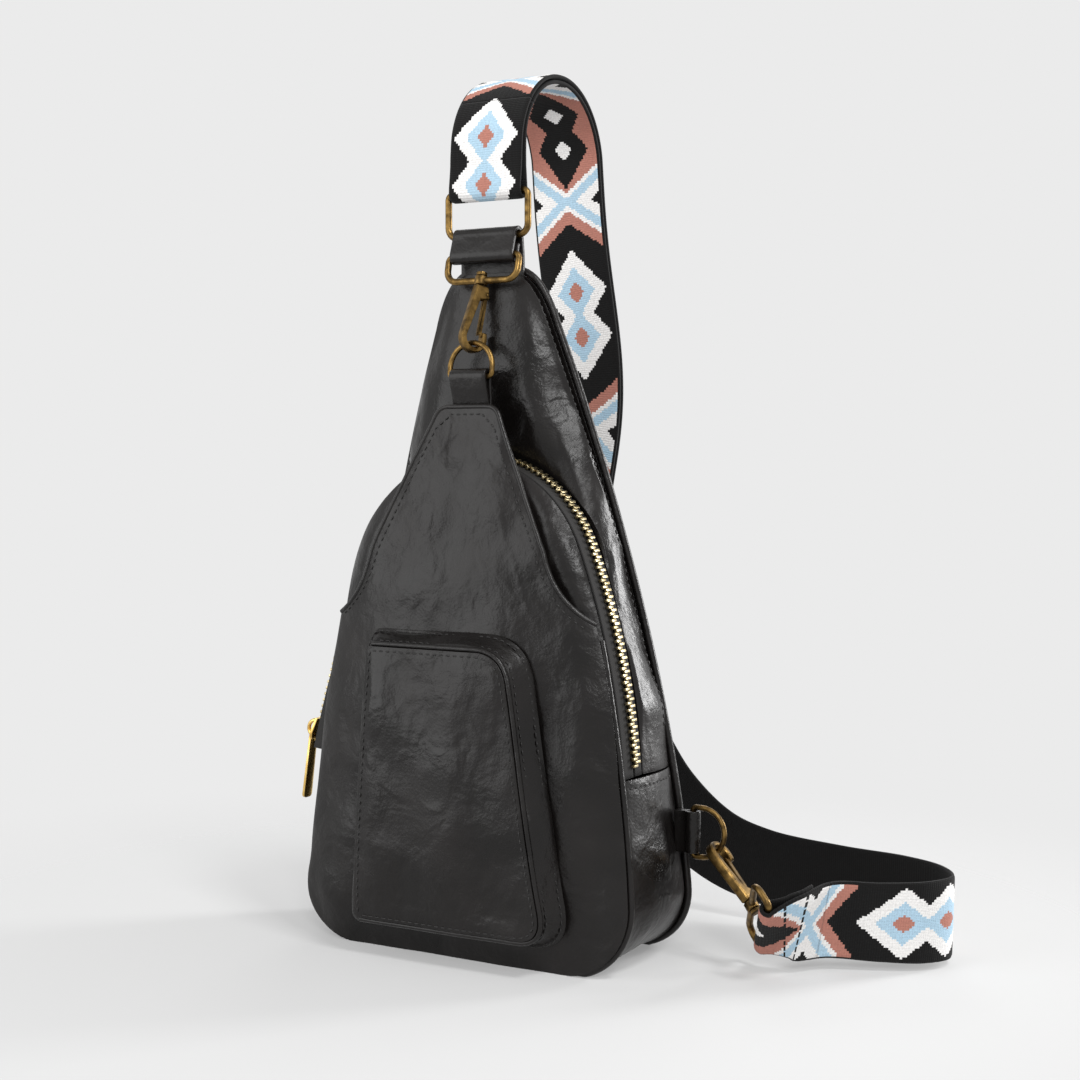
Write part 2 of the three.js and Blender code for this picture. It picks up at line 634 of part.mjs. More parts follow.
// Tongue panel: the whole lower front, narrowing above its shoulders to a round-cornered tip
const tonguePath = new THREE.Path();
tonguePath.moveTo(frontHalf(FLARE_Z), FLARE_Z);
tonguePath.quadraticCurveTo(TONGUE_SHOULDER_X + 5, FLARE_Z + 9, TONGUE_SHOULDER_X, TONGUE_SHOULDER_Z);
tonguePath.lineTo(TONGUE_TOP_X, TONGUE_TOP_Z - TONGUE_CORNER);
tonguePath.quadraticCurveTo(TONGUE_TOP_X - 2, TONGUE_TOP_Z, TONGUE_TOP_X - TONGUE_CORNER, TONGUE_TOP_Z);
const tongueOutline = pathPoints(tonguePath, 8);
const tongueHalf = (z) => (z <= FLARE_Z ? frontHalf(z) : halfWidthAt(tongueOutline, z));

function addTongue() {
  const at = (u, v) => {
    const z = easedHeight(EDGE, TONGUE_TOP_Z - EDGE, v);
    const x = frontX(2 * u - 1, tongueHalf(z), z);
    return vec(x, tongueFace(x, z), z);
  };
  place(bag, 'tongue_panel', panel(at, TONGUE_THICK, 8, 18, BAG_MIDDLE), LEATHER_BLACK);
}

// Pocket outline grown by `grow`: sharp corners on the left, round ones on the right
function pocketOutline(grow) {
  const top = POCKET_TOP_Z + grow;
  const low = POCKET_BOTTOM_Z - grow * 0.8;
  const flank = (foot) => (z) => {
    const share = (z - POCKET_BOTTOM_Z) / (POCKET_TOP_Z - POCKET_BOTTOM_Z);
    return lerp(foot, POCKET_TOP_HALF, share) + grow;
  };
  const right = flank(POCKET_RIGHT_FOOT);
  const left = flank(POCKET_LEFT_FOOT);
  const big = POCKET_ROUND + grow;
  const small = POCKET_SHARP + grow * 0.5;
  const path = new THREE.Path();
  path.moveTo(-left(low) + small, low);
  path.lineTo(right(low) - big, low);
  path.quadraticCurveTo(right(low), low, right(low + big), low + big);
  path.lineTo(right(top - big), top - big);
  path.quadraticCurveTo(right(top), top, right(top) - big, top);
  path.lineTo(-left(top) + small, top);
  path.quadraticCurveTo(-left(top), top, -left(top - small), top - small);
  path.lineTo(-left(low + small), low + small);
  path.quadraticCurveTo(-left(low), low, -left(low) + small, low);
  return path;
}

function addPocket() {
  const outer = pocketOutline(POCKET_SLOPE);
  const inner = pocketOutline(0);
  // Both outlines are walked piece by piece, so that their corners stay opposite each other
  const walk = (path, u) => {
    const curves = path.curves;
    const place01 = (u % 1) * curves.length;
    const i = Math.min(Math.floor(place01), curves.length - 1);
    return curves[i].getPoint(place01 - i);
  };
  const at = (u, v) => {
    const p = walk(outer, u).lerp(walk(inner, u), v);
    return vec(p.x, tongueFace(p.x, p.y) - OVERLAY_GAP - POCKET_DEPTH * v, p.y);
  };
  const heart = vec(0, tongueFace(0, POCKET_TOP_Z) - POCKET_DEPTH / 2, (POCKET_TOP_Z + POCKET_BOTTOM_Z) / 2);
  place(bag, 'pocket_gusset', panel(at, LEATHER, 32, 2, heart, true), LEATHER_BLACK);

  const edge = LEATHER + SLACK + 0.4;
  const faceRim = pocketOutline(-edge).getPoints(6);
  const rowSpan = (z) => {
    let [left, right] = [Infinity, -Infinity];
    for (let i = 0; i < faceRim.length; i += 1) {
      const [a, b] = [faceRim[i], faceRim[(i + 1) % faceRim.length]];
      if ((a.y - z) * (b.y - z) <= 0 && a.y !== b.y) {
        const x = lerp(a.x, b.x, (z - a.y) / (b.y - a.y));
        left = Math.min(left, x);
        right = Math.max(right, x);
      }
    }
    return [left, right];
  };
  const [low, high] = [Math.min(...faceRim.map((p) => p.y)), Math.max(...faceRim.map((p) => p.y))];
  const face = (u, v) => {
    const z = easedHeight(low + EDGE, high - POCKET_MOUTH + SLACK, v);
    const [left, right] = rowSpan(z);
    const x = lerp(left, right, u);
    return vec(x, tongueFace(x, z) - OVERLAY_GAP - POCKET_DEPTH, z);
  };
  place(bag, 'pocket_face', panel(face, LEATHER, 6, 10, heart), LEATHER_BLACK);
}

// A leather fold seen from the side: round ends about one or two wire bars, and a tail that is sewn in
function foldedLeather(bars, tail, width) {
  const grown = bars.map((bar) => ({ ...bar, reach: bar.wire + BAR_SLACK + bar.leather }));
  let body = null;
  const add = (piece) => {
    body = body === null ? piece : body.add(piece);
  };
  const across = (y, z, radius) => solid(rod(vec(-width / 2, y, z), vec(width / 2, y, z), radius, 14));
  for (const bar of grown) add(across(bar.y, bar.z, bar.reach));
  const slab = (corners) => {
    const shape = new THREE.Shape(corners.map(([y, z]) => new THREE.Vector2(y, z)));
    const flat = new THREE.ExtrudeGeometry(shape, { depth: width, bevelEnabled: false });
    return solid(flat.rotateX(Math.PI / 2).rotateZ(Math.PI / 2).translate(-width / 2, 0, 0));
  };
  if (grown.length === 2) {
    const [a, b] = grown;
    const run = new THREE.Vector2(b.y - a.y, b.z - a.z).normalize();
    const side = new THREE.Vector2(-run.y, run.x).multiplyScalar(a.leather * 0.8);
    add(slab([
      [a.y + side.x, a.z + side.y], [b.y + side.x, b.z + side.y],
      [b.y - side.x, b.z - side.y], [a.y - side.x, a.z - side.y],
    ]));
  }
  add(slab(tail));
  for (const bar of grown) body = body.subtract(across(bar.y, bar.z, bar.wire + BAR_SLACK));
  return geometryOf(body);
}

// The loop at the top: one leather strip folded over the strap ring and round the clasp ring
function addTopLoop() {
  const tailBack = TOP_BACK_Y - LEATHER - SEAM_GAP;
  const tailFront = tailBack - LOOP_LEATHER;
  const ringBar = { y: STRAP_RING_Y, z: STRAP_RING_LOW_Z, wire: WIRE_R, leather: LOOP_LEATHER };
  const claspBar = { y: CLASP_BAR_Y, z: CLASP_BAR_Z, wire: WIRE_R, leather: LOOP_LEATHER * 0.8 };
  const shoulderZ = STRAP_RING_LOW_Z - 1;
  const tail = [
    [tailFront, BAG_HEIGHT - LOOP_TAIL], [tailBack, BAG_HEIGHT - LOOP_TAIL], [tailBack, shoulderZ - 4],
    [STRAP_RING_Y + 2.6, shoulderZ + 2], [STRAP_RING_Y + 1.9, shoulderZ - 1.9], [tailFront, shoulderZ - 6],
  ];
  const width = 2 * (CLASP_HALF - WIRE_R - BAR_SLACK);
  place(bag, 'top_loop', foldedLeather([ringBar, claspBar], tail, width), LEATHER_BLACK);
}

const STRAP_RING_HALF = STRAP_WIDTH / 2 + STRAP_SIDE_SLACK + WIRE_R;
function addStrapRing() {
  const path = roundedBar(STRAP_RING_HALF, 0, STRAP_RING_RISE, RING_CORNER, BAR_CORNER);
  const mesh = place(bag, 'strap_ring', wireLoop(pathPoints(path, 2), WIRE_R, 8), BRASS_ANTIQUE);
  mesh.position.set(0, STRAP_RING_Y, STRAP_RING_LOW_Z);
}

// The clasp: an oval ring with a swivel boss, and a teardrop snap hook with a sprung gate
// Its frame has X along the bar and Z from the hook's eye to the ring.
function claspRing(half) {
  const path = roundedBar(half, 0, CLASP_RISE, CLASP_CORNER, BAR_CORNER);
  const ring = solid(wireLoop(pathPoints(path, 2), WIRE_R));
  const boss = solid(rod(vec(0, 0, -BOSS_HALF), vec(0, 0, BOSS_HALF), BOSS_R, 12));
  const bore = solid(rod(vec(0, 0, -BOSS_HALF - 1), vec(0, 0, BOSS_HALF + 1), NECK_R + SLACK, 10));
  return geometryOf(ring.add(boss).subtract(bore));
}

function hookBody() {
  const eye = new THREE.Vector2(HOOK_EYE_OFFSET, -HOOK_EYE_DROP);
  const outerR = HOOK_EYE_R + HOOK_RIM;
  const tipZ = eye.y + HOOK_TIP_RISE;
  const spine = degToRad(168);
  const outline = new THREE.Shape();
  outline.moveTo(-HOOK_TOP_HALF, 0);
  outline.lineTo(eye.x + outerR * Math.cos(spine), eye.y + outerR * Math.sin(spine));
  outline.absarc(eye.x, eye.y, outerR, spine, 2 * Math.PI, false);
  outline.lineTo(eye.x + outerR - 0.4, tipZ);
  outline.lineTo(eye.x + HOOK_EYE_R, tipZ);
  outline.absarc(eye.x, eye.y, HOOK_EYE_R, 0, spine - 2 * Math.PI, true);
  outline.lineTo(-0.2, -HOOK_BLOCK);
  outline.lineTo(GATE_PIVOT_X + GATE_WIDTH * 0.8, -HOOK_BLOCK + 1);
  outline.lineTo(HOOK_TOP_HALF + 0.6, 0);
  const rounding = { bevelEnabled: true, bevelThickness: 0.7, bevelSize: 0.5, bevelOffset: -0.5, bevelSegments: 1 };
  const flat = new THREE.ExtrudeGeometry(outline, { depth: HOOK_THICK - 1.4, curveSegments: 7, ...rounding });
  flat.translate(0, 0, -HOOK_THICK / 2 + 0.7).rotateX(Math.PI / 2);
  const shoulderZ = -BOSS_HALF - SLACK;
  flat.translate(0, 0, shoulderZ);
  const headZ = BOSS_HALF + SLACK;
  const neck = rod(vec(0, 0, shoulderZ - 1), vec(0, 0, headZ + 0.4), NECK_R, 10);
  const head = rod(vec(0, 0, headZ), vec(0, 0, headZ + HEAD_THICK), HEAD_R, 10);
  const slot = new THREE.BoxGeometry(8, GATE_SLOT, HOOK_BLOCK + 2);
  slot.translate(4.4, 0, shoulderZ - 1.6 - (HOOK_BLOCK + 2) / 2);
  const pivot = vec(GATE_PIVOT_X, 0, shoulderZ - GATE_PIVOT_DROP);
  const pinHole = rod(pivot.clone().setY(-HOOK_THICK), pivot.clone().setY(HOOK_THICK), GATE_PIN_R + SLACK, 8);
  const body = solid(flat).subtract(solid(slot)).subtract(solid(pinHole)).add(solid(neck)).add(solid(head));
  return geometryOf(body);
}

function gateBody() {
  const end = new THREE.Vector2(HOOK_EYE_OFFSET + HOOK_EYE_R - SLACK - GATE_WIDTH / 2, -HOOK_EYE_DROP + 1.4);
  const pivot = new THREE.Vector2(GATE_PIVOT_X, -GATE_PIVOT_DROP);
  const run = end.clone().sub(pivot).normalize();
  const half = GATE_WIDTH / 2;
  const side = new THREE.Vector2(run.y, -run.x).multiplyScalar(half);
  const start = Math.atan2(side.y, side.x);
  const outline = new THREE.Shape();
  outline.absarc(pivot.x, pivot.y, half, start + Math.PI, start, true);
  outline.absarc(end.x, end.y, half, start, start - Math.PI, true);
  const knuckle = rod(vec(pivot.x, -GATE_THICK / 2, pivot.y), vec(pivot.x, GATE_THICK / 2, pivot.y), half + 0.5, 12);
  const flat = new THREE.ExtrudeGeometry(outline, { depth: GATE_THICK, bevelEnabled: false, curveSegments: 4 });
  flat.translate(0, 0, -GATE_THICK / 2).rotateX(Math.PI / 2);
  const hole = rod(vec(pivot.x, -GATE_THICK, pivot.y), vec(pivot.x, GATE_THICK, pivot.y), GATE_PIN_R + SLACK, 8);
  const body = solid(flat).add(solid(knuckle)).subtract(solid(hole));
  return geometryOf(body).translate(0, 0, -BOSS_HALF - SLACK);
}

function addClasp(prefix, ringName, ringHalf, frame, swivel) {
  frame.name = `${prefix}_clasp_frame`;
  bag.add(frame);
  place(frame, ringName, claspRing(ringHalf), BRASS_ANTIQUE);
  const turn = new THREE.Group();
  turn.name = `${prefix}_swivel_frame`;
  turn.rotation.z = swivel;
  frame.add(turn);
  place(turn, `${prefix}_hook`, hookBody(), BRASS_ANTIQUE);
  place(turn, `${prefix}_gate`, gateBody(), BRASS_ANTIQUE);
  const pivot = new THREE.Group();
  pivot.name = `${prefix}_gate_frame`;
  pivot.position.set(GATE_PIVOT_X, 0, -BOSS_HALF - SLACK - GATE_PIVOT_DROP);
  turn.add(pivot);
  const pin = rod(vec(0, -HOOK_THICK / 2, 0), vec(0, HOOK_THICK / 2, 0), GATE_PIN_R, 8);
  place(pivot, `${prefix}_gate_pin`, pin, BRASS_ANTIQUE);
}

// Where the wire of a D ring lies in a hook's eye, below the swivel boss
const EYE_FLOOR = HOOK_EYE_R - D_WIRE_R - 2 * SLACK;
const EYE_REACH = BOSS_HALF + SLACK + HOOK_EYE_DROP + EYE_FLOOR;

function addUpperClasp() {
  const frame = new THREE.Group();
  const tilt = degToRad(CLASP_TILT);
  const bossY = CLASP_BAR_Y - CLASP_RISE * Math.sin(tilt);
  const bossZ = CLASP_BAR_Z - CLASP_RISE * Math.cos(tilt);
  frame.rotation.x = -tilt;
  frame.position.set(0, bossY, bossZ);
  addClasp('upper', 'clasp_ring', CLASP_HALF, frame, degToRad(UPPER_SWIVEL));
  const eyeDepth = HOOK_EYE_OFFSET * Math.sin(degToRad(UPPER_SWIVEL));
  frame.updateMatrix();
  return vec(0, eyeDepth, -EYE_REACH).applyMatrix4(frame.matrix);
}

function dRing() {
  const path = new THREE.Path();
  path.moveTo(-D_HALF + D_CORNER, 0);
  path.lineTo(D_HALF - D_CORNER, 0);
  path.absarc(D_HALF - D_CORNER, D_CORNER, D_CORNER, -Math.PI / 2, 0);
  path.lineTo(D_HALF, D_SIDE);
  const third = Math.PI / 3;
  for (let k = 0; k < 3; k += 1) path.absarc(0, D_SIDE, D_HALF, k * third, (k + 1) * third);
  path.lineTo(-D_HALF, D_CORNER);
  path.absarc(-D_HALF + D_CORNER, D_CORNER, D_CORNER, Math.PI, 1.5 * Math.PI);
  const points = pathPoints(path, 2);
  return wireLoop(points, D_WIRE_R);
}

// The tongue's D ring stands between its leather tab and the hook's eye
function addTongueRing(eye) {
  const barY = tongueBack(0, TONGUE_TOP_Z) + SEAM_GAP;
  const reach = D_SIDE + D_HALF;
  const lean = Math.asin(clamp((eye.y - barY) / reach, -0.9, 0.9));
  const barZ = eye.z - reach * Math.cos(lean);
  const frame = new THREE.Group();
  frame.name = 'tongue_ring_frame';
  frame.position.set(0, barY, barZ);
  frame.rotation.x = -lean;
  bag.add(frame);
  place(frame, 'tongue_d_ring', dRing(), BRASS_ANTIQUE);

  const bar = { y: barY, z: barZ, wire: D_WIRE_R, leather: TAB_LEATHER };
  const low = TONGUE_TOP_Z - 12;
  const front = (z) => tongueBack(0, z) + SEAM_GAP;
  const tail = [
    [front(low), low], [front(low) + 2 * TAB_LEATHER, low],
    [barY + 2 * TAB_LEATHER - 0.4, barZ - 1], [barY - 0.4, barZ - 2.2],
    [front(TONGUE_TOP_Z), TONGUE_TOP_Z],
  ];
  place(bag, 'tongue_tab', foldedLeather([bar], tail, TAB_WIDTH), LEATHER_BLACK);
}

// The side tab stands out from the lower gusset beside the back seam and holds the lower D ring
function addSideRing() {
  const wall = [-0.5, 0, 0.5].map((share) => bodyHalf(SIDE_TAB_Z + share * TAB_WIDTH));
  const wallX = Math.max(...wall) + SLACK;
  const tabY = backFace(SIDE_TAB_Z) - SIDE_TAB_INSET;
  const frame = new THREE.Group();
  frame.name = 'side_ring_frame';
  const barX = wallX + SIDE_TAB_REACH;
  frame.position.set(barX, tabY, SIDE_TAB_Z);
  frame.rotation.y = Math.PI / 2;
  bag.add(frame);
  place(frame, 'side_d_ring', dRing(), BRASS_ANTIQUE);

  const bar = { y: 0, z: 0, wire: D_WIRE_R, leather: TAB_LEATHER };
  const tail = [
    [-TAB_LEATHER, -SIDE_TAB_REACH], [TAB_LEATHER, -SIDE_TAB_REACH], [TAB_LEATHER, -1.9], [-TAB_LEATHER, -1.9],
  ];
  place(frame, 'side_tab', foldedLeather([bar], tail, TAB_WIDTH), LEATHER_BLACK);
  const low = degToRad(-45);
  const out = D_SIDE + D_HALF * Math.cos(low);
  return {
    eye: vec(barX + out, tabY, SIDE_TAB_Z + D_HALF * Math.sin(low)),
    wire: vec(-Math.sin(low), 0, Math.cos(low)),
  };
}

// The lower clasp runs from the side ring's wire down to the strap's end
const LOWER_RUN = vec(0.674, -0.303, -0.674).normalize();
const LOWER_BAR_LEAN = -28;
function addLowerClasp({ eye, wire }) {
  const upright = vec(0, 0, 1).addScaledVector(LOWER_RUN, -LOWER_RUN.z).normalize();
  const bar = upright.clone().applyAxisAngle(LOWER_RUN.clone().negate(), degToRad(LOWER_BAR_LEAN));
  const depth = LOWER_RUN.clone().cross(bar);
  const frame = new THREE.Group();
  frame.quaternion.setFromRotationMatrix(new THREE.Matrix4().makeBasis(bar, depth, LOWER_RUN));
  const eyeSide = LOWER_RUN.clone().cross(wire).normalize();
  if (eyeSide.y < 0) eyeSide.negate();
  const swivel = Math.atan2(eyeSide.dot(depth), eyeSide.dot(bar));
  const offset = eyeSide.clone().multiplyScalar(-HOOK_EYE_OFFSET);
  frame.position.copy(eye).addScaledVector(LOWER_RUN, EYE_REACH).add(offset);
  addClasp('lower', 'strap_end_ring', STRAP_RING_HALF, frame, swivel);
  const end = frame.position.clone().addScaledVector(LOWER_RUN, CLASP_RISE);
  return { end, bar };
}

// The adjuster behind the bag: a frame with a middle bar that the strap's sewn end goes round
function addAdjuster() {
  const half = STRAP_WIDTH / 2 + STRAP_SIDE_SLACK + ADJUSTER_BAR_R;
  const rise = ADJUSTER_HALF_RISE;
  const frame = solid(wireLoop(pathPoints(roundedBar(half, -rise, rise, BAR_CORNER, BAR_CORNER), 2), ADJUSTER_BAR_R));
  const bar = solid(rod(vec(-half, 0, 0), vec(half, 0, 0), ADJUSTER_BAR_R, 8));
  const mesh = place(bag, 'strap_adjuster', geometryOf(frame.add(bar)), BRASS_ANTIQUE);
  mesh.position.set(0, REAR_RUN_Y, ADJUSTER_Z);
}

// The strap's running layer behind and beside the bag: points and the direction of its width
const FLOOR_RUN = [
  [[0, 77, 133], [1, 0, 0]], [[3, 80, 119], [0.99, 0, 0.1]], [[9, 83, 106], [0.95, 0, 0.3]],
  [[20, 86, 90], [0.84, 0, 0.54]], [[42, 88, 56], [0.55, -0.02, 0.83]], [[67, 89, 35], [0.25, -0.05, 0.97]],
  [[92, 89, 26.5], [0.1, -0.06, 0.99]], [[130, 88, 23], [0, -0.08, 1]], [[162, 84, 22.5], [0, -0.08, 1]],
  [[181, 75, 22], [0, -0.06, 1]], [[189, 61, 21.5], [0.05, -0.06, 1]], [[182, 47, 21.5], [0.08, -0.12, 1]],
  [[166, 36, 22], [0.1, -0.2, 0.97]], [[148, 26, 23], [0.15, -0.25, 0.95]],
];

function addStrap({ end, bar }) {
  const half = STRAP_THICK / 2;
  const X = vec(1, 0, 0);
  const stations = [];
  const add = (p, width) => stations.push({ p, width: width.clone().normalize() });
  const barR = WIRE_R + SLACK + half;
  const layer = STRAP_THICK + SLACK;
  const ringZ = STRAP_RING_LOW_Z + STRAP_RING_RISE;
  const frontY = STRAP_RING_Y - barR + 1.4;
  const archY = frontY + ARCH_R;

  // The running layer from the ring up, over the arch and down to the adjuster
  const running = [vec(0, STRAP_RING_Y - barR, ringZ + 2), vec(0, frontY - 0.3, ringZ + 11)];
  for (let k = 0; k <= 8; k += 1) {
    const angle = Math.PI - (k / 8) * Math.PI;
    running.push(vec(0, archY + ARCH_R * Math.cos(angle), ARCH_CENTRE_Z + ARCH_R * Math.sin(angle)));
  }
  const behindBar = REAR_RUN_Y - ADJUSTER_BAR_R - SLACK - half;
  running.push(vec(0, lerp(archY + ARCH_R, behindBar, 0.5), lerp(ARCH_CENTRE_Z, ADJUSTER_Z, 0.5)));
  running.push(vec(0, behindBar, ADJUSTER_Z + ADJUSTER_HALF_RISE + 8));
  running.push(vec(0, behindBar, ADJUSTER_Z + ADJUSTER_HALF_RISE));

  // Through the adjuster: behind its outer bars and over the fold on its middle bar
  const outerR = ADJUSTER_BAR_R + SLACK + half + 0.2;
  const middleR = outerR + layer;
  const cross = Math.asin((outerR + middleR) / ADJUSTER_HALF_RISE);
  const about = (z, radius, angle) => vec(0, REAR_RUN_Y + radius * Math.cos(angle), ADJUSTER_Z + z + radius * Math.sin(angle));
  const threaded = [about(ADJUSTER_HALF_RISE, outerR, Math.PI + cross)];
  for (const share of [1, 0.5, 0, -0.5, -1]) threaded.push(about(0, middleR, share * cross));
  threaded.push(about(-ADJUSTER_HALF_RISE, outerR, Math.PI - cross));

  // The doubled layer lies inside the running one and ends in a fold round the adjuster's middle bar
  const inner = running.map((p, i) => {
    const before = running[Math.max(i - 1, 0)];
    const after = running[Math.min(i + 1, running.length - 1)];
    const along = after.clone().sub(before).normalize();
    const away = vec(0, along.z, -along.y);
    const space = i === 1 ? layer + 1.2 : layer;
    return p.clone().addScaledVector(away, space).setX(0);
  });
  const foldR = ADJUSTER_BAR_R + SLACK + half;
  for (let k = 0; k <= 6; k += 1) {
    const angle = -(k / 6) * Math.PI;
    add(vec(0, REAR_RUN_Y + foldR * Math.cos(angle), ADJUSTER_Z + foldR * Math.sin(angle)), X);
  }
  add(vec(0, REAR_RUN_Y - foldR - 0.8, ADJUSTER_Z + 4), X);
  for (const p of inner.slice(1).reverse()) add(p, X);
  add(vec(0, STRAP_RING_Y + barR + 0.2, ringZ + 3), X);
  for (let k = 0; k <= 6; k += 1) {
    const angle = -(k / 6) * Math.PI;
    add(vec(0, STRAP_RING_Y + barR * Math.cos(angle), ringZ + barR * Math.sin(angle)), X);
  }
  for (const p of running.slice(1)) add(p, X);
  for (const p of threaded) add(p, X);
  add(vec(0, behindBar, ADJUSTER_Z - ADJUSTER_HALF_RISE), X);
  add(vec(0, behindBar, ADJUSTER_Z - ADJUSTER_HALF_RISE - 8), X);
  for (const [p, width] of FLOOR_RUN) add(vec(...p), vec(...width));

  // The end folds round the clasp's bar and is sewn down on its hidden side
  const arriving = end.clone().sub(vec(...FLOOR_RUN.at(-1)[0])).normalize();
  arriving.addScaledVector(bar, -arriving.dot(bar)).normalize();
  const side = bar.clone().cross(arriving).normalize();
  if (side.y < 0) side.negate();
  add(end.clone().addScaledVector(arriving, -FOLD_BACK * 0.6).addScaledVector(side, -barR), bar);
  for (let k = 0; k <= 6; k += 1) {
    const angle = (k / 6) * Math.PI;
    const p = end.clone().addScaledVector(side, -barR * Math.cos(angle)).addScaledVector(arriving, barR * Math.sin(angle));
    add(p, bar);
  }
  const sewn = end.clone().addScaledVector(arriving, -FOLD_BACK * 0.5).addScaledVector(side, barR * 0.7);
  add(sewn, bar);
  add(end.clone().addScaledVector(arriving, -FOLD_BACK).addScaledVector(side, barR * 0.55), bar);
  place(bag, 'strap', ribbon(stations), WEBBING);
}

// A flat band through its stations, each a point and the direction of the band's width
function ribbon(stations) {
  const middle = new THREE.CatmullRomCurve3(stations.map((s) => s.p), false, 'centripetal');
  const widths = new THREE.CatmullRomCurve3(stations.map((s) => s.width), false, 'centripetal');
  const shares = [];
  const spans = stations.length - 1;
  for (let i = 0; i < spans; i += 1) {
    const length = stations[i].p.distanceTo(stations[i + 1].p);
    const parts = Math.max(1, Math.round(length / 22));
    for (let k = 0; k < parts; k += 1) shares.push((i + k / parts) / spans);
  }
  shares.push(1);
  const rings = shares.map((share) => {
    const p = middle.getPoint(share);
    const along = middle.getTangent(share);
    const width = widths.getPoint(share);
    width.addScaledVector(along, -width.dot(along)).normalize();
    const normal = along.clone().cross(width).normalize();
    const corner = (w, n) => p.clone()
      .addScaledVector(width, (w * STRAP_WIDTH) / 2)
      .addScaledVector(normal, (n * STRAP_THICK) / 2);
    return [corner(-1, -1), corner(1, -1), corner(1, 1), corner(-1, 1)];
  });
  return skin(rings);
}

addBackPanel();
addFrontPanel();
addLowerGusset();
addUpperPanel();
addPiping();
addZip();
addSlider();
addTongue();
addPocket();
addTopLoop();
addStrapRing();
addTongueRing(addUpperClasp());
const strapEnd = addLowerClasp(addSideRing());
addAdjuster();
addStrap(strapEnd);

export default bag;
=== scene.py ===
# %% [markdown]
# # A black sling bag with a jacquard strap
# The bag is a tapering shell of black faux leather with an arched brass zip, a front tongue that is
# clipped to the top, a box pocket and a wide woven strap. The CAD model gives every place and size. This
# script dresses it: leather panels with folds and stitches, real zip teeth, round brass wire and a woven
# pattern.

import math

import bpy
import numpy as np
from mathutils import Matrix, Vector, noise


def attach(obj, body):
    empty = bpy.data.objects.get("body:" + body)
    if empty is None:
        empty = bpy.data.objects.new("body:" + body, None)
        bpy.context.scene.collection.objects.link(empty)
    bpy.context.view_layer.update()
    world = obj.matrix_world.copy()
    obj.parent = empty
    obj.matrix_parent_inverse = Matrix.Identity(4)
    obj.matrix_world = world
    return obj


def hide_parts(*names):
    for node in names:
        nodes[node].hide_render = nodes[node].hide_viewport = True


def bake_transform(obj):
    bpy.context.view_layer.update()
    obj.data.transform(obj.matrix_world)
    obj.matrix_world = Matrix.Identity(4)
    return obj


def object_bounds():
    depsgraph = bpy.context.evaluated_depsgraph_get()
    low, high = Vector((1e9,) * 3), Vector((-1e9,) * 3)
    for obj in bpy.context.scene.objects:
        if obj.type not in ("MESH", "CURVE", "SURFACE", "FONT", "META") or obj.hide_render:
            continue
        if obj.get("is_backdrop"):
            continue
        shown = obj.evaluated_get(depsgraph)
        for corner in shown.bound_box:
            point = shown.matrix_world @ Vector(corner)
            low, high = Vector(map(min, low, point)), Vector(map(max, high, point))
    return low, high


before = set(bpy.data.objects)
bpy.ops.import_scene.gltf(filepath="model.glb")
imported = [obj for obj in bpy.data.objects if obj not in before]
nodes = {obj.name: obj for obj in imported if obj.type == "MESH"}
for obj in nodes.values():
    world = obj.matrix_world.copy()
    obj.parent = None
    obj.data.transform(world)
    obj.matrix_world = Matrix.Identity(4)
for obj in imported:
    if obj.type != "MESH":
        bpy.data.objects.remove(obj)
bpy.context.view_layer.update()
MM = 0.001
bpy.ops.object.select_all(action="DESELECT")

# %% [markdown]
# ## Small helpers
# Most pieces here are soft: sheets of leather and webbing. A soft sheet is easiest to make from a formula
# for its outer face, sampled on a grid and given a thickness. All formulas are in millimetres, as on a
# pattern maker's table, and become metres only when the mesh is made.


# %% Mesh helpers
def mesh_piece(name, points, faces):
    """A mesh object from points in millimetres, at the origin of the frame."""
    mesh = bpy.data.meshes.new(name)
    mesh.from_pydata([Vector(p) * MM for p in points], [], faces)
    mesh.validate()
    piece = bpy.data.objects.new(name, mesh)
    bpy.context.scene.collection.objects.link(piece)
    mesh.polygons.foreach_set("use_smooth", [True] * len(mesh.polygons))
    return piece


def only(piece):
    """Makes a piece the one selected and active object."""
    bpy.ops.object.select_all(action="DESELECT")
    piece.select_set(True)
    bpy.context.view_layer.objects.active = piece


def face_outwards(piece):
    """Merges doubled points and turns every face outwards."""
    only(piece)
    bpy.ops.object.mode_set(mode="EDIT")
    bpy.ops.mesh.select_all(action="SELECT")
    bpy.ops.mesh.remove_doubles(threshold=1e-6)
    bpy.ops.mesh.normals_make_consistent(inside=False)
    bpy.ops.object.mode_set(mode="OBJECT")


def round_edges(piece, width, segments=3, angle=50):
    """Rounds the sharp edges of a piece, as a folded or tumbled edge is."""
    only(piece)
    bevel = piece.modifiers.new("rounded", "BEVEL")
    bevel.width = width * MM
    bevel.segments = segments
    bevel.limit_method = "ANGLE"
    bevel.angle_limit = math.radians(angle)
    bevel.use_clamp_overlap = True
    bpy.ops.object.modifier_apply(modifier=bevel.name)


def eased(count, gather=0.12):
    """Shares from 0 to 1 that lie closer together at both ends, where a panel's outline turns."""
    t = np.linspace(0, 1, count + 1)
    return t - gather * np.sin(2 * np.pi * t)


def run_along(path):
    """The length from a path's start to each of its points."""
    return np.concatenate([[0], np.cumsum(np.linalg.norm(np.diff(path, axis=0), axis=1))])


# %% [markdown]
# ## Leather sheets
# A panel could be a flat cut piece that is bent and simulated. The panels of this bag are stiff and
# backed, and keep the shape they are sewn to, so each one is laid on its sewn shape directly. The folds
# that the leather has taken are added along the surface's own normal: broad soft hollows, and a few
# sharper creases.


# %% Leather sheet from a formula
HOLLOW_SIZE, DENT_SIZE, RIDGE_SIZE = 45.0, 19.0, 15.0
DRAPE_SIZE = (24.0, 30.0, 80.0)
RIDGE_WIDTH = 0.18
NEARBY = 2e-3


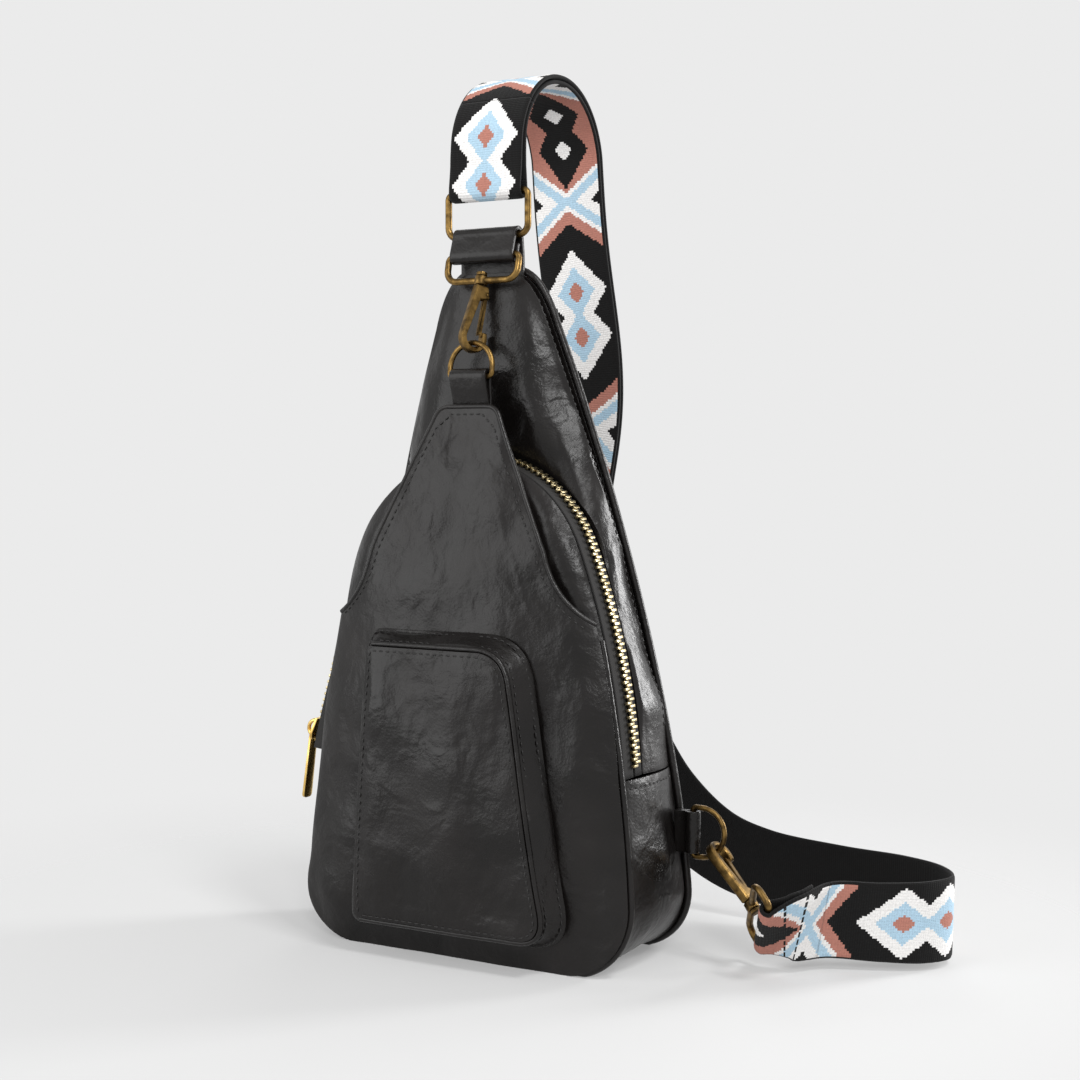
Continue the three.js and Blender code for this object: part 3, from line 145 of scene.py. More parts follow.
def creases(p, amount):
    """How far the leather stands out at a point, in mm: hollows, dents, hanging folds and ridges."""
    q = Vector(p)
    hollow = noise.noise(q / HOLLOW_SIZE)
    dent = noise.noise(q / DENT_SIZE + Vector((7, 3, 1)))
    ridge = abs(noise.noise(Vector((q.x * 1.5, q.y, q.z * 0.7)) / RIDGE_SIZE + Vector((2, 9, 4))))
    drape = noise.noise(Vector([a / size for a, size in zip(q, DRAPE_SIZE)]) + Vector((5, 1, 8)))
    return amount * (0.9 * hollow + 0.5 * dent + 0.7 * drape + 0.6 * (RIDGE_WIDTH - min(ridge, RIDGE_WIDTH)))


def face_and_normal(at, u, v, inside, looped=False):
    """The point at(u, v) of a formula and its normal there, which points away from `inside`."""
    p = np.array(at(u, v), float)
    if looped:
        du = np.array(at((u + NEARBY) % 1, v)) - np.array(at((u - NEARBY) % 1, v))
    else:
        du = np.array(at(min(u + NEARBY, 1), v)) - np.array(at(max(u - NEARBY, 0), v))
    dv = np.array(at(u, min(v + NEARBY, 1))) - np.array(at(u, max(v - NEARBY, 0)))
    n = np.cross(du, dv)
    n = n / (np.linalg.norm(n) + 1e-12)
    return p, -n if n @ (np.array(inside) - p) > 0 else n


def sheet_faces(rows, columns, looped):
    """The faces of a sheet: an outer grid of points, an inner one, and the edges between them."""
    inner = rows * columns
    faces = []
    for i in range(rows if looped else rows - 1):
        j = (i + 1) % rows
        for k in range(columns - 1):
            a, b, c, d = i * columns + k, j * columns + k, j * columns + k + 1, i * columns + k + 1
            faces.append((a, b, c, d))
            faces.append((inner + a, inner + d, inner + c, inner + b))
        for k in (0, columns - 1):
            a, b = i * columns + k, j * columns + k
            faces.append((a, inner + a, inner + b, b) if k == 0 else (a, b, inner + b, inner + a))
    if not looped:
        for i in (0, rows - 1):
            for k in range(columns - 1):
                a, b = i * columns + k, i * columns + k + 1
                faces.append((a, b, inner + b, inner + a) if i == 0 else (a, inner + a, inner + b, b))
    return faces


def leather_sheet(
    name, at, across, along, thickness, inside, amount, looped=False, rim=0.7, layered=False, most=None
):
    """A closed sheet whose outer face is at(u, v) in mm, thickened towards the point `inside`.

    Layered sheets lie on each other and share their creases, so these depend on x and z alone. `most` limits
    how far a crease stands out at a point, and no crease dips below the floor.
    """
    us = np.linspace(0, 1, across + 1)[: across if looped else None]
    vs = eased(along)
    outer_points, inner_points = [], []
    for u in us:
        for v in vs:
            p, n = face_and_normal(at, u, v, inside, looped)
            edge = min(v, 1 - v) * 8 if looped else min(u, 1 - u, v, 1 - v) * 10
            swell = creases((p[0], 0, p[2]) if layered else p, amount) * min(1.0, 0.25 + edge)
            if most:
                swell = min(swell, most(p))
            if p[2] + n[2] * swell < 0:
                swell = -p[2] / n[2]
            outer_points.append(p + n * swell)
            inner_points.append(p + n * (swell - thickness))
    piece = mesh_piece(name, outer_points + inner_points, sheet_faces(len(us), len(vs), looped))
    face_outwards(piece)
    if rim:
        round_edges(piece, rim)
    return piece


# %% [markdown]
# ## The bag's outlines
# Two outlines rule the body. The back is a tall pear with round lower corners. The front is the same
# below, and follows the zip above: a crown arc with two long leg arcs. The numbers are the CAD model's
# own.

# %% Outlines and depths
BASE_HALF, BASE_CORNER = 82.5, 30.0
BAG_HEIGHT, NECK_HALF, NECK_Z = 296.0, 29.0, 272.0
ZIP_FOOT_Z, ZIP_APEX_Z, CROWN_R = 83.0, 216.0, 59.0
CROWN_ANGLE = math.radians(22)
DEPTH, FRONT_LEAN, TOP_BACK = 55.0, 6.0, 3.2
FRONT_BELLY, ZIP_SETBACK = 8.5, 11.5
LEATHER = 1.8
LEFT_SWELL, LEFT_TUCK, FLANK_PEAK = 8.0, 4.0, 1 / 3
FLARE_Z, SHOULDER_Z = 147.0, 176.0


def bezier(points, count):
    """A curve from the first point to the last, drawn towards those between."""
    t = np.linspace(0, 1, count)[:, None]
    work = [np.array(p, float)[None, :] * np.ones_like(t) for p in points]
    while len(work) > 1:
        work = [a * (1 - t) + b * t for a, b in zip(work, work[1:])]
    return work[0]


turn = np.linspace(-math.pi / 2, 0, 30)
corner_x = BASE_HALF - BASE_CORNER + BASE_CORNER * np.cos(turn)
corner = np.stack([corner_x, BASE_CORNER * (1 + np.sin(turn))], 1)
flank_bends = [(BASE_HALF - 4, 110), (NECK_HALF + 24, NECK_Z - 67)]
flank = bezier([(BASE_HALF, BASE_CORNER), *flank_bends, (NECK_HALF, NECK_Z)], 90)
neck = bezier([(NECK_HALF, NECK_Z), (22, BAG_HEIGHT), (10, BAG_HEIGHT)], 30)
body_outline = np.concatenate([corner, flank[1:], neck[1:]])


def body_half(z):
    return float(np.interp(z, body_outline[:, 1], body_outline[:, 0]))


foot_x = body_half(ZIP_FOOT_Z)
crown_z = ZIP_APEX_Z - CROWN_R
leg_top = np.array([CROWN_R * math.cos(CROWN_ANGLE), crown_z + CROWN_R * math.sin(CROWN_ANGLE)])
leg_normal = np.array([math.cos(CROWN_ANGLE), math.sin(CROWN_ANGLE)])


def leg_arc(x):
    """The arc from the crown to a foot: its radius, centre, foot angle and length."""
    chord = np.array([x, ZIP_FOOT_Z]) - leg_top
    radius = -(chord @ chord) / (2 * chord @ leg_normal)
    centre = leg_top - leg_normal * radius
    foot = math.asin((ZIP_FOOT_Z - centre[1]) / radius)
    return radius, centre, foot, radius * (CROWN_ANGLE - foot)


leg_r, leg_centre, foot_angle, right_length = leg_arc(foot_x)
left_r, left_centre, left_foot, left_length = leg_arc(foot_x + LEFT_SWELL)
crown_length = CROWN_R * (math.pi - 2 * CROWN_ANGLE)
zip_length = left_length + crown_length + right_length


def zip_arch(s):
    """The point and outward direction of the zip at a length from its left foot, as (x, z) pairs."""
    s = min(max(s, 0), zip_length)
    if s < left_length:
        a = left_foot + s / left_r
        n = np.array([-math.cos(a), math.sin(a)])
        return left_centre * [-1, 1] + n * left_r, n
    if s < left_length + crown_length:
        a = CROWN_ANGLE + (s - left_length) / CROWN_R
        n = np.array([-math.cos(a), math.sin(a)])
        return np.array([0, crown_z]) + n * CROWN_R, n
    a = foot_angle + (zip_length - s) / leg_r
    n = np.array([math.cos(a), math.sin(a)])
    return leg_centre + n * leg_r, n


def arch_half(z):
    if z >= leg_top[1]:
        return math.sqrt(max(CROWN_R**2 - (z - crown_z) ** 2, 0))
    return leg_centre[0] + math.sqrt(leg_r**2 - (z - leg_centre[1]) ** 2)


def front_half(z):
    return body_half(z) if z <= ZIP_FOOT_Z else arch_half(z)


def smooth(z, low, high):
    t = min(max((z - low) / (high - low), 0), 1)
    return t * t * (3 - 2 * t)


def tuck(z):
    """How far the front seam is tucked in on the left, where the stuffed flank swells out behind it."""
    return LEFT_TUCK * smooth(z, 8, 40) * (1 - smooth(z, FLARE_Z - 17, SHOULDER_Z))


def front_x(side, half, z):
    """A place across a front panel, from -1 at its left edge to 1 at its right edge."""
    return side * (half - (tuck(z) if side < 0 else 0))


def front_seam(z):
    return -DEPTH / 2 + FRONT_LEAN * z / ZIP_APEX_Z


def zip_y(z):
    return front_seam(z) + ZIP_SETBACK


def back_face(z):
    return DEPTH / 2 + (TOP_BACK - DEPTH / 2) * z / BAG_HEIGHT


def front_face(x, z):
    half = max(front_half(z) - (tuck(z) if x < 0 else 0), 1.0)
    flat = (1 - min(abs(x / half), 1) ** 4) * (1 - abs(2 * z / ZIP_APEX_Z - 1) ** 4)
    return front_seam(z) - FRONT_BELLY * flat


print("zip length:", round(zip_length, 1), "mm, foot at", round(foot_x, 1))

# %% [markdown]
# ## Colours and nodes
# Every colour is written as the eye sees it, in sRGB hex, and turned to linear light once, here. One
# function adds a shader node: its inputs are either plain values or the outputs of other nodes.


# %% Material helpers
def colour(code):
    """An sRGB hex colour as linear red, green, blue and alpha."""
    channels = [int(code[i : i + 2], 16) / 255 for i in (1, 3, 5)]
    return (*[c / 12.92 if c <= 0.04045 else ((c + 0.055) / 1.055) ** 2.4 for c in channels], 1.0)


def add_node(tree, kind, inputs=None, stops=(), **settings):
    """Adds one node with its settings, its colour stops and its inputs, which are set or linked."""
    made = tree.nodes.new(kind)
    for key, value in settings.items():
        setattr(made, key, value)
    for number, (position, code) in enumerate(stops):
        made.color_ramp.elements[number].position = position
        made.color_ramp.elements[number].color = colour(code)
    for key, value in (inputs or {}).items():
        if isinstance(value, bpy.types.NodeSocket):
            tree.links.new(value, made.inputs[key])
        else:
            made.inputs[key].default_value = value
    return made


def new_material(name):
    material = bpy.data.materials.new(name)
    material.use_nodes = True
    tree = material.node_tree
    shader = tree.nodes["Principled BSDF"]
    place = add_node(tree, "ShaderNodeTexCoord").outputs["Object"]
    return material, tree, shader, place


def cover(piece, material):
    """Gives a piece its one material, and the slot by which it is recoloured."""
    piece.data.materials.clear()
    piece.data.materials.append(material)


def dress(piece, material, body, stands_for=None):
    """Covers a piece, hangs it on the body that carries it and takes the place of a CAD node."""
    if stands_for:
        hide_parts(stands_for)
    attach(piece, body)
    cover(piece, material)


# %% [markdown]
# ## Black faux leather
# The leather is a polyurethane film on cloth, pressed with a fine grain and waxed. It reads as black with
# a warm grey sheen: a clear gloss broken by creases 10 to 20 mm long, and a pebble grain of about 1 mm
# that only shows where light grazes it. Roughness changes from place to place, which makes the
# reflections look handled.


# %% Waxed faux leather
def waxed_leather():
    material, tree, shader, place = new_material("waxed black faux leather")
    cloud = add_node(tree, "ShaderNodeTexNoise", {"Vector": place, "Scale": 1 / 0.035, "Detail": 3.0})
    tint = add_node(
        tree,
        "ShaderNodeValToRGB",
        {"Fac": cloud.outputs["Fac"]},
        stops=[(0.35, "#0F0D0C"), (0.7, "#191615")],
    )
    polish = add_node(
        tree,
        "ShaderNodeMapRange",
        {"Value": cloud.outputs["Fac"], "From Min": 0.3, "From Max": 0.7, "To Min": 0.24, "To Max": 0.38},
    )
    # Crease lines: where a 9 mm noise crosses its middle value
    crossing = add_node(
        tree,
        "ShaderNodeTexNoise",
        {"Vector": place, "Scale": 1 / 0.009, "Detail": 6.0, "Roughness": 0.6, "Distortion": 0.3},
    )
    offset = add_node(tree, "ShaderNodeMath", {0: crossing.outputs["Fac"], 1: 0.5}, operation="SUBTRACT")
    line = add_node(tree, "ShaderNodeMath", {0: offset.outputs[0]}, operation="ABSOLUTE")
    soft = add_node(
        tree,
        "ShaderNodeMapRange",
        {"Value": line.outputs[0], "From Min": 0.0, "From Max": 0.16, "To Min": 0.0, "To Max": 1.0},
        interpolation_type="SMOOTHSTEP",
    )
    # Some patches of about 28 mm are crumpled and others smooth
    patch = add_node(tree, "ShaderNodeTexNoise", {"Vector": place, "Scale": 1 / 0.028, "Detail": 1.0})
    worn = add_node(
        tree,
        "ShaderNodeMapRange",
        {"Value": patch.outputs["Fac"], "From Min": 0.4, "From Max": 0.62, "To Min": 0.25, "To Max": 1.0},
    )
    crumple = add_node(
        tree, "ShaderNodeMath", {0: soft.outputs["Result"], 1: worn.outputs["Result"]}, operation="MULTIPLY"
    )
    # The pressed pebble grain is drawn at 1.2 mm, a little coarse, so that it shows
    grain = add_node(tree, "ShaderNodeTexVoronoi", {"Vector": place, "Scale": 1 / 0.0012}, feature="F1")
    # Broad soft folds of about 16 mm break up the reflections of the lamps
    broad = add_node(
        tree, "ShaderNodeTexNoise", {"Vector": place, "Scale": 1 / 0.016, "Detail": 2.0, "Distortion": 0.7}
    )
    folds = add_node(
        tree, "ShaderNodeBump", {"Strength": 0.3, "Distance": 0.003, "Height": broad.outputs["Fac"]}
    )
    deep = add_node(
        tree,
        "ShaderNodeBump",
        {"Strength": 0.19, "Distance": 0.0006, "Height": crumple.outputs[0], "Normal": folds.outputs[0]},
    )
    fine = add_node(
        tree,
        "ShaderNodeBump",
        {"Strength": 0.2, "Distance": 0.0002, "Height": grain.outputs[0], "Normal": deep.outputs[0]},
    )
    tree.links.new(tint.outputs["Color"], shader.inputs["Base Color"])
    tree.links.new(polish.outputs["Result"], shader.inputs["Roughness"])
    tree.links.new(fine.outputs[0], shader.inputs["Normal"])
    shader.inputs["Specular IOR Level"].default_value = 0.3
    return material


leather = waxed_leather()
print("made", leather.name)

# %% [markdown]
# ## Brass
# The rings and hooks are cast zinc with an antique brass plating that was tumbled: light on the edges and
# brown in the hollows. The teeth are stamped from paler brass and glint. The zip slider has a brighter
# gold-toned plating. A metal keeps its colour in the reflection, so the base colour is the metal's own.


# %% Antique and bright brass
def plated_brass(name, dark, light, low, high):
    material, tree, shader, place = new_material(name)
    rubbed = add_node(tree, "ShaderNodeTexNoise", {"Vector": place, "Scale": 1 / 0.004, "Detail": 4.0})
    tint = add_node(
        tree, "ShaderNodeValToRGB", {"Fac": rubbed.outputs["Fac"]}, stops=[(0.3, dark), (0.62, light)]
    )
    polish = add_node(
        tree,
        "ShaderNodeMapRange",
        {"Value": rubbed.outputs["Fac"], "From Min": 0.3, "From Max": 0.7, "To Min": high, "To Max": low},
    )
    scratch = add_node(tree, "ShaderNodeTexNoise", {"Vector": place, "Scale": 1 / 0.0006, "Detail": 2.0})
    bump = add_node(
        tree, "ShaderNodeBump", {"Strength": 0.08, "Distance": 0.0001, "Height": scratch.outputs["Fac"]}
    )
    tree.links.new(tint.outputs["Color"], shader.inputs["Base Color"])
    tree.links.new(polish.outputs["Result"], shader.inputs["Roughness"])
    tree.links.new(bump.outputs[0], shader.inputs["Normal"])
    shader.inputs["Metallic"].default_value = 1.0
    return material


antique_brass = plated_brass("tumbled antique brass", "#3C2F1C", "#84693C", 0.3, 0.46)
tooth_brass = plated_brass("stamped brass teeth", "#7C6E4C", "#CFC09A", 0.25, 0.4)
bright_brass = plated_brass("bright gold-toned brass", "#B8904A", "#E6C67C", 0.16, 0.28)
print("made", antique_brass.name, tooth_brass.name, bright_brass.name, sep=", ")

# %% [markdown]
# ## Zip tape and sewing thread
# The tape is a herringbone of black polyester about 0.6 mm a rib, which is drawn at 1 mm so that it
# shows. The ribs of tape and thread are painted lighter on their crests and darker in their grooves:
# painted light and shade over their bump. The thread is a bonded black polyester, a little glossier
# than the tape and browner than the leather.


# %% Tape and thread
def ribbed_cloth(name, dark, light, rib, rough):
    material, tree, shader, place = new_material(name)
    ribs = add_node(
        tree,
        "ShaderNodeTexWave",
        {"Vector": place, "Scale": 0.5 / rib, "Distortion": 0.4, "Detail": 1.0},
        bands_direction="DIAGONAL",
    )
    # Painted light on the rib crests and painted shade in the grooves, on the same wave as the bump
    tint = add_node(
        tree, "ShaderNodeValToRGB", {"Fac": ribs.outputs["Fac"]}, stops=[(0.2, dark), (0.8, light)]
    )
    bump = add_node(
        tree, "ShaderNodeBump", {"Strength": 0.4, "Distance": 0.0002, "Height": ribs.outputs["Fac"]}
    )
    tree.links.new(tint.outputs["Color"], shader.inputs["Base Color"])
    tree.links.new(bump.outputs[0], shader.inputs["Normal"])
    shader.inputs["Roughness"].default_value = rough
    return material


# Each cloth's two colours are its painted shade in the grooves and its painted light on the crests
tape_cloth = ribbed_cloth("black zip tape", "#0E0D0D", "#1D1B1A", 0.001, 0.9)
thread = ribbed_cloth("bonded sewing thread", "#0B0A0A", "#1B1817", 0.0007, 0.6)
print("made", tape_cloth.name, "and", thread.name)

# %% [markdown]
# ## Back panel
# The back, the lower gusset and the upper panel make the shell. The back is a plain sheet, cut to the
# tall outline, that leans forward to the top and bellies out a little in the middle.

# %% Back panel
INSIDE = (0.0, 0.0, 118.0)
BACK_BELLY = 4.0
EDGE = 0.15


def back_at(u, v):
    z = EDGE + (BAG_HEIGHT - 2 * EDGE) * v
    side = 2 * u - 1
    belly = BACK_BELLY * (1 - side**2) * math.sin(math.pi * math.sqrt(v)) ** 2
    return side * body_half(z), back_face(z) + belly, z


back_panel = leather_sheet("back_panel_leather", back_at, 44, 80, LEATHER, INSIDE, 0.8)
dress(back_panel, leather, "bag", "back_panel")
print("back panel faces:", len(back_panel.data.polygons))

# %% [markdown]
# ## Lower gusset
# The gusset is one band that goes under the bag and up both sides to the zip's feet. It is laid along the
# back's outline, from left to right. The stuffed bag pushes its left side out more than its right one.

# %% Lower gusset
SEAM = 0.35
BASE_LEATHER = 2.2
GUSSET_PUFF = 3.2
GUSSET_TOP = ZIP_FOOT_Z - SEAM
right_edge = body_outline[body_outline[:, 1] < GUSSET_TOP]
right_edge = np.vstack([right_edge, [body_half(GUSSET_TOP), GUSSET_TOP]])
band = np.vstack([(right_edge * [-1, 1])[::-1], right_edge])
band_run = run_along(band)


def gusset_at(u, v):
    s = u * band_run[-1]
    x, z = np.interp(s, band_run, band[:, 0]), np.interp(s, band_run, band[:, 1])
    front = front_seam(z) + LEATHER + SEAM
    back = back_face(z) - LEATHER - SEAM
    if x < 0:
        out = v / FLANK_PEAK if v < FLANK_PEAK else (1 - v) / (1 - FLANK_PEAK)
        x += tuck(z) * max(1 - v / FLANK_PEAK, 0)
        x -= LEFT_SWELL * smooth(z, 4, 50) * math.sin(math.pi / 2 * out)
    else:
        x += GUSSET_PUFF * smooth(z, 2, 30) * math.sin(math.pi * v) ** 0.7
    return float(x), front + (back - front) * v, float(z)


lower_gusset = leather_sheet("lower_gusset_leather", gusset_at, 130, 14, BASE_LEATHER, (0, 0, 83), 1.6)
dress(lower_gusset, leather, "bag", "lower_gusset")
print("lower gusset faces:", len(lower_gusset.data.polygons))

# %% [markdown]
# ## Upper panel
# This panel starts behind the zip on the sides and turns into the front of the neck. Its lower edge runs
# along the zip and its upper edge along the back seam, so it is a ruled sheet between the two that swells
# a little.

# %% Upper panel
TAPE_HALF, SLACK = 7.0, 0.3
LOOP_LEATHER = 1.9
SIDE_BELLY, NECK_BELLY = 1.5, 4.5


def back_seam(p):
    """Where the upper panel meets the back seam: level on the legs, along a ray on the crown."""
    if p[1] <= leg_top[1]:
        return np.array([math.copysign(body_half(p[1]), p[0]), p[1]]), 0.0
    ray = (p - [0, crown_z]) / np.linalg.norm(p - [0, crown_z])
    near, far = CROWN_R * 0.5, BAG_HEIGHT
    for _ in range(30):
        mid = (near + far) / 2
        z = crown_z + ray[1] * mid
        if z < BAG_HEIGHT and abs(ray[0] * mid) < body_half(z):
            near = mid
        else:
            far = mid
    return np.array([ray[0] * near, crown_z + ray[1] * near]), float(ray[1])


def upper_at(u, v):
    a, _ = zip_arch(u * zip_length)
    p, rise = back_seam(a)
    front = zip_y(a[1]) + TAPE_HALF + SLACK
    back = back_face(p[1]) - LEATHER - SEAM - (LOOP_LEATHER + 3 * SEAM + LEATHER) * rise**2
    swell = math.sin(math.pi * v)
    x = a[0] + (p[0] - a[0]) * v + math.copysign(SIDE_BELLY, a[0]) * swell * (1 - rise)
    return x, front + (back - front) * v - NECK_BELLY * swell * rise**2, a[1] + (p[1] - a[1]) * v


def behind_the_hook(p):
    """The most that a crease may stand out: nothing on the neck, where the hook swings just in front."""
    on_neck = smooth(p[2], 205, 232) * (1 - smooth(abs(p[0]), 16, 34))
    return 6 * (1 - on_neck) - 0.1


upper_panel = leather_sheet(
    "upper_panel_leather", upper_at, 170, 26, LEATHER, (0, 41, 178), 2.4, most=behind_the_hook
)
dress(upper_panel, leather, "bag", "upper_panel")
print("upper panel faces:", len(upper_panel.data.polygons))

# %% [markdown]
# ## Front and tongue
# The front panel only shows as two puffed shoulders between the zip and the tongue. The tongue is an
# overlay: it covers the whole lower front, leaves the edge at the shoulders and runs on over the zip to
# its tip.

# %% Front panel
SHOULDER_PUFF, FRONT_CREASE = 1.6, 1.8


def front_at(u, v):
    z = EDGE + (ZIP_APEX_Z - 2 * EDGE) * v
    half = front_half(z)
    x = front_x(2 * u - 1, half, z)
    outside = min(max((abs(x) - tongue_half(z)) / 10, 0), 1)
    puff = SHOULDER_PUFF * math.sin(math.pi * min(max((half - abs(x)) / 26, 0), 1)) * outside
    return x, front_face(x, z) - puff, z


# %% [markdown]
# ## Tongue
# The tongue rests on the front panel below and is free above, where it leans towards its ring. One
# formula gives its back: the front panel's face with a small gap, eased into a straight line above the
# lift.

# %% Tongue panel
TONGUE_TOP_Z, TONGUE_TOP_Y, LIFT_Z = 237.5, -19.0, 165.0
OVERLAY_GAP, TONGUE_THICK = 1.25, 2.2
tongue_edge = np.vstack(
    [
        bezier([(front_half(FLARE_Z), FLARE_Z), (48, FLARE_Z + 9), (43, SHOULDER_Z)], 30),
        bezier([(17, TONGUE_TOP_Z - 6.5), (15, TONGUE_TOP_Z), (10.5, TONGUE_TOP_Z)], 14),
    ]
)


def tongue_half(z):
    if z <= FLARE_Z:
        return front_half(z)
    return float(np.interp(z, tongue_edge[:, 1], tongue_edge[:, 0]))


lift_y = front_face(0, LIFT_Z) - OVERLAY_GAP


def tongue_back(x, z):
    free = lift_y + (TONGUE_TOP_Y - lift_y) * (z - LIFT_Z) / (TONGUE_TOP_Z - LIFT_Z)
    if z >= ZIP_APEX_Z:
        return free
    resting = front_face(x, z) - OVERLAY_GAP
    t = smooth(z, LIFT_Z, ZIP_APEX_Z)
    return min(resting * (1 - t) + free * t, resting)


def tongue_face(x, z):
    return tongue_back(x, z) - TONGUE_THICK


def tongue_at(u, v):
    z = EDGE + (TONGUE_TOP_Z - 2 * EDGE) * v
    x = front_x(2 * u - 1, tongue_half(z), z)
    return x, tongue_face(x, z), z


front_panel = leather_sheet(
    "front_panel_leather", front_at, 80, 100, LEATHER, INSIDE, FRONT_CREASE, layered=True
)
dress(front_panel, leather, "bag", "front_panel")
tongue_panel = leather_sheet(
    "tongue_panel_leather", tongue_at, 80, 120, TONGUE_THICK, INSIDE, FRONT_CREASE, rim=0.9, layered=True
)
dress(tongue_panel, leather, "bag", "tongue_panel")
print("tongue faces:", len(tongue_panel.data.polygons))

# %% [markdown]
# ## Box pocket
# The pocket is a shallow box: a sloped wall sewn down all round and a flat face sewn to the wall's front
# edge. Its right-hand corners are round and its left-hand ones nearly square.

# %% Pocket wall
POCKET_TOP, POCKET_LOW, POCKET_TOP_HALF = 136.0, 16.0, 34.0
POCKET_LEFT, POCKET_RIGHT = 42.0, 53.0
POCKET_DEPTH, POCKET_SLOPE = 11.0, 6.0
ROUND_CORNER, SQUARE_CORNER = 14.0, 3.0


def pocket_outline(grow, count=24):
    """The pocket's outline as eight runs of the same number of points: four sides and four corners."""
    top, low = POCKET_TOP + grow, POCKET_LOW - grow * 0.8
    big, small = ROUND_CORNER + grow, SQUARE_CORNER + grow * 0.5

    def side(foot_half, z):
        share = (z - POCKET_LOW) / (POCKET_TOP - POCKET_LOW)
        return foot_half + (POCKET_TOP_HALF - foot_half) * share + grow

    def right(z):
        return side(POCKET_RIGHT, z)

    def left(z):
        return -side(POCKET_LEFT, z)

    stops = [
        [(left(low) + small, low), (right(low) - big, low)],
        [(right(low) - big, low), (right(low), low), (right(low + big), low + big)],
        [(right(low + big), low + big), (right(top - big), top - big)],
        [(right(top - big), top - big), (right(top), top), (right(top) - big, top)],
        [(right(top) - big, top), (left(top) + small, top)],
        [(left(top) + small, top), (left(top), top), (left(top - small), top - small)],
        [(left(top - small), top - small), (left(low + small), low + small)],
        [(left(low + small), low + small), (left(low), low), (left(low) + small, low)],
    ]
    return np.vstack([bezier(s, count + 1)[:-1] for s in stops])


def round_trip(points, u):
    """The point at a share of the way round a closed outline."""
    place = (u % 1) * len(points)
    i = int(place) % len(points)
    return points[i] + (points[(i + 1) % len(points)] - points[i]) * (place - int(place))


wall_foot, wall_top = pocket_outline(POCKET_SLOPE), pocket_outline(0)


def pocket_wall_at(u, v):
    p = round_trip(wall_foot, u) * (1 - v) + round_trip(wall_top, u) * v
    return p[0], tongue_face(p[0], p[1]) - OVERLAY_GAP - POCKET_DEPTH * v, p[1]


pocket_heart = (4.0, tongue_face(0, POCKET_TOP) - POCKET_DEPTH / 2, (POCKET_TOP + POCKET_LOW) / 2)
pocket_wall = leather_sheet(
    "pocket_wall_leather", pocket_wall_at, 192, 10, LEATHER, pocket_heart, FRONT_CREASE, looped=True
)
dress(pocket_wall, leather, "bag", "pocket_gusset")
print("pocket wall faces:", len(pocket_wall.data.polygons))

# %% Pocket face
face_rim = pocket_outline(-0.6)
face_low, face_high = face_rim[:, 1].min() + EDGE, face_rim[:, 1].max() - EDGE
FACE_PUFF = 1.2


def face_span(z):
    """The left and right ends of the pocket's face at a height."""
    a, b = face_rim, np.roll(face_rim, -1, axis=0)
    cross = (a[:, 1] - z) * (b[:, 1] - z) <= 0
    cross &= a[:, 1] != b[:, 1]
    t = (z - a[cross, 1]) / (b[cross, 1] - a[cross, 1])
    x = a[cross, 0] + (b[cross, 0] - a[cross, 0]) * t
    return x.min(), x.max()


def pocket_face_at(u, v):
    z = face_low + (face_high - face_low) * v
    left, right = face_span(z)
    x = left + (right - left) * u
    puff = FACE_PUFF * math.sin(math.pi * u) * math.sin(math.pi * v)
    return x, tongue_face(x, z) - OVERLAY_GAP - POCKET_DEPTH - LEATHER - puff, z


pocket_face = leather_sheet(
    "pocket_face_leather", pocket_face_at, 56, 70, LEATHER, pocket_heart, FRONT_CREASE, rim=0.8, layered=True
)
dress(pocket_face, leather, "bag", "pocket_face")
print("pocket face faces:", len(pocket_face.data.polygons))

# %% [markdown]
# ## Wire, piping and cord-like rims
# A ring of wire is a closed path with a round section. By hand one draws the path as a curve, gives the
# curve a bevel depth and converts it to a mesh. The same steps make the piping of the back seam.


# %% Round wire
def smooth_path(points, step=1.0):
    """A centripetal spline through points, sampled evenly. Values after the third ride along."""
    pts = np.array(points, float)
    pts = np.vstack([2 * pts[0] - pts[1], pts, 2 * pts[-1] - pts[-2]])
    out = []
    for i in range(1, len(pts) - 2):
        p0, p1, p2, p3 = pts[i - 1 : i + 3]
        t0 = 0.0
        t1 = t0 + max(np.linalg.norm((p1 - p0)[:3]), 1e-6) ** 0.5
        t2 = t1 + max(np.linalg.norm((p2 - p1)[:3]), 1e-6) ** 0.5
        t3 = t2 + max(np.linalg.norm((p3 - p2)[:3]), 1e-6) ** 0.5
        for t in np.linspace(t1, t2, 12, endpoint=False):
            a1 = (t1 - t) / (t1 - t0) * p0 + (t - t0) / (t1 - t0) * p1
            a2 = (t2 - t) / (t2 - t1) * p1 + (t - t1) / (t2 - t1) * p2
            a3 = (t3 - t) / (t3 - t2) * p2 + (t - t2) / (t3 - t2) * p3
            b1 = (t2 - t) / (t2 - t0) * a1 + (t - t0) / (t2 - t0) * a2
            b2 = (t3 - t) / (t3 - t1) * a2 + (t - t1) / (t3 - t1) * a3
            out.append((t2 - t) / (t2 - t1) * b1 + (t - t1) / (t2 - t1) * b2)
    out.append(pts[-2])
    out = np.array(out)
    run = run_along(out[:, :3])
    count = max(2, int(round(run[-1] / step)))
    even = np.linspace(0, run[-1], count + 1)
    return np.stack([np.interp(even, run, out[:, k]) for k in range(out.shape[1])], 1)


def wire(name, path, radius, closed=True, smoothness=5):
    """A round wire along a path of points in mm."""
    curve = bpy.data.curves.new(name, "CURVE")
    curve.dimensions = "3D"
    curve.bevel_depth = radius * MM
    curve.bevel_resolution = smoothness
    curve.use_fill_caps = True
    line = curve.splines.new("POLY")
    line.points.add(len(path) - 1)
    for point, p in zip(line.points, path):
        point.co = (p[0] * MM, p[1] * MM, p[2] * MM, 1)
    line.use_cyclic_u = closed
    piece = bpy.data.objects.new(name, curve)
    bpy.context.scene.collection.objects.link(piece)
    only(piece)
    bpy.ops.object.convert(target="MESH")
    piece = bpy.context.view_layer.objects.active
    face_outwards(piece)
    only(piece)
    bpy.ops.object.shade_smooth_by_angle(angle=math.radians(50))
    return piece


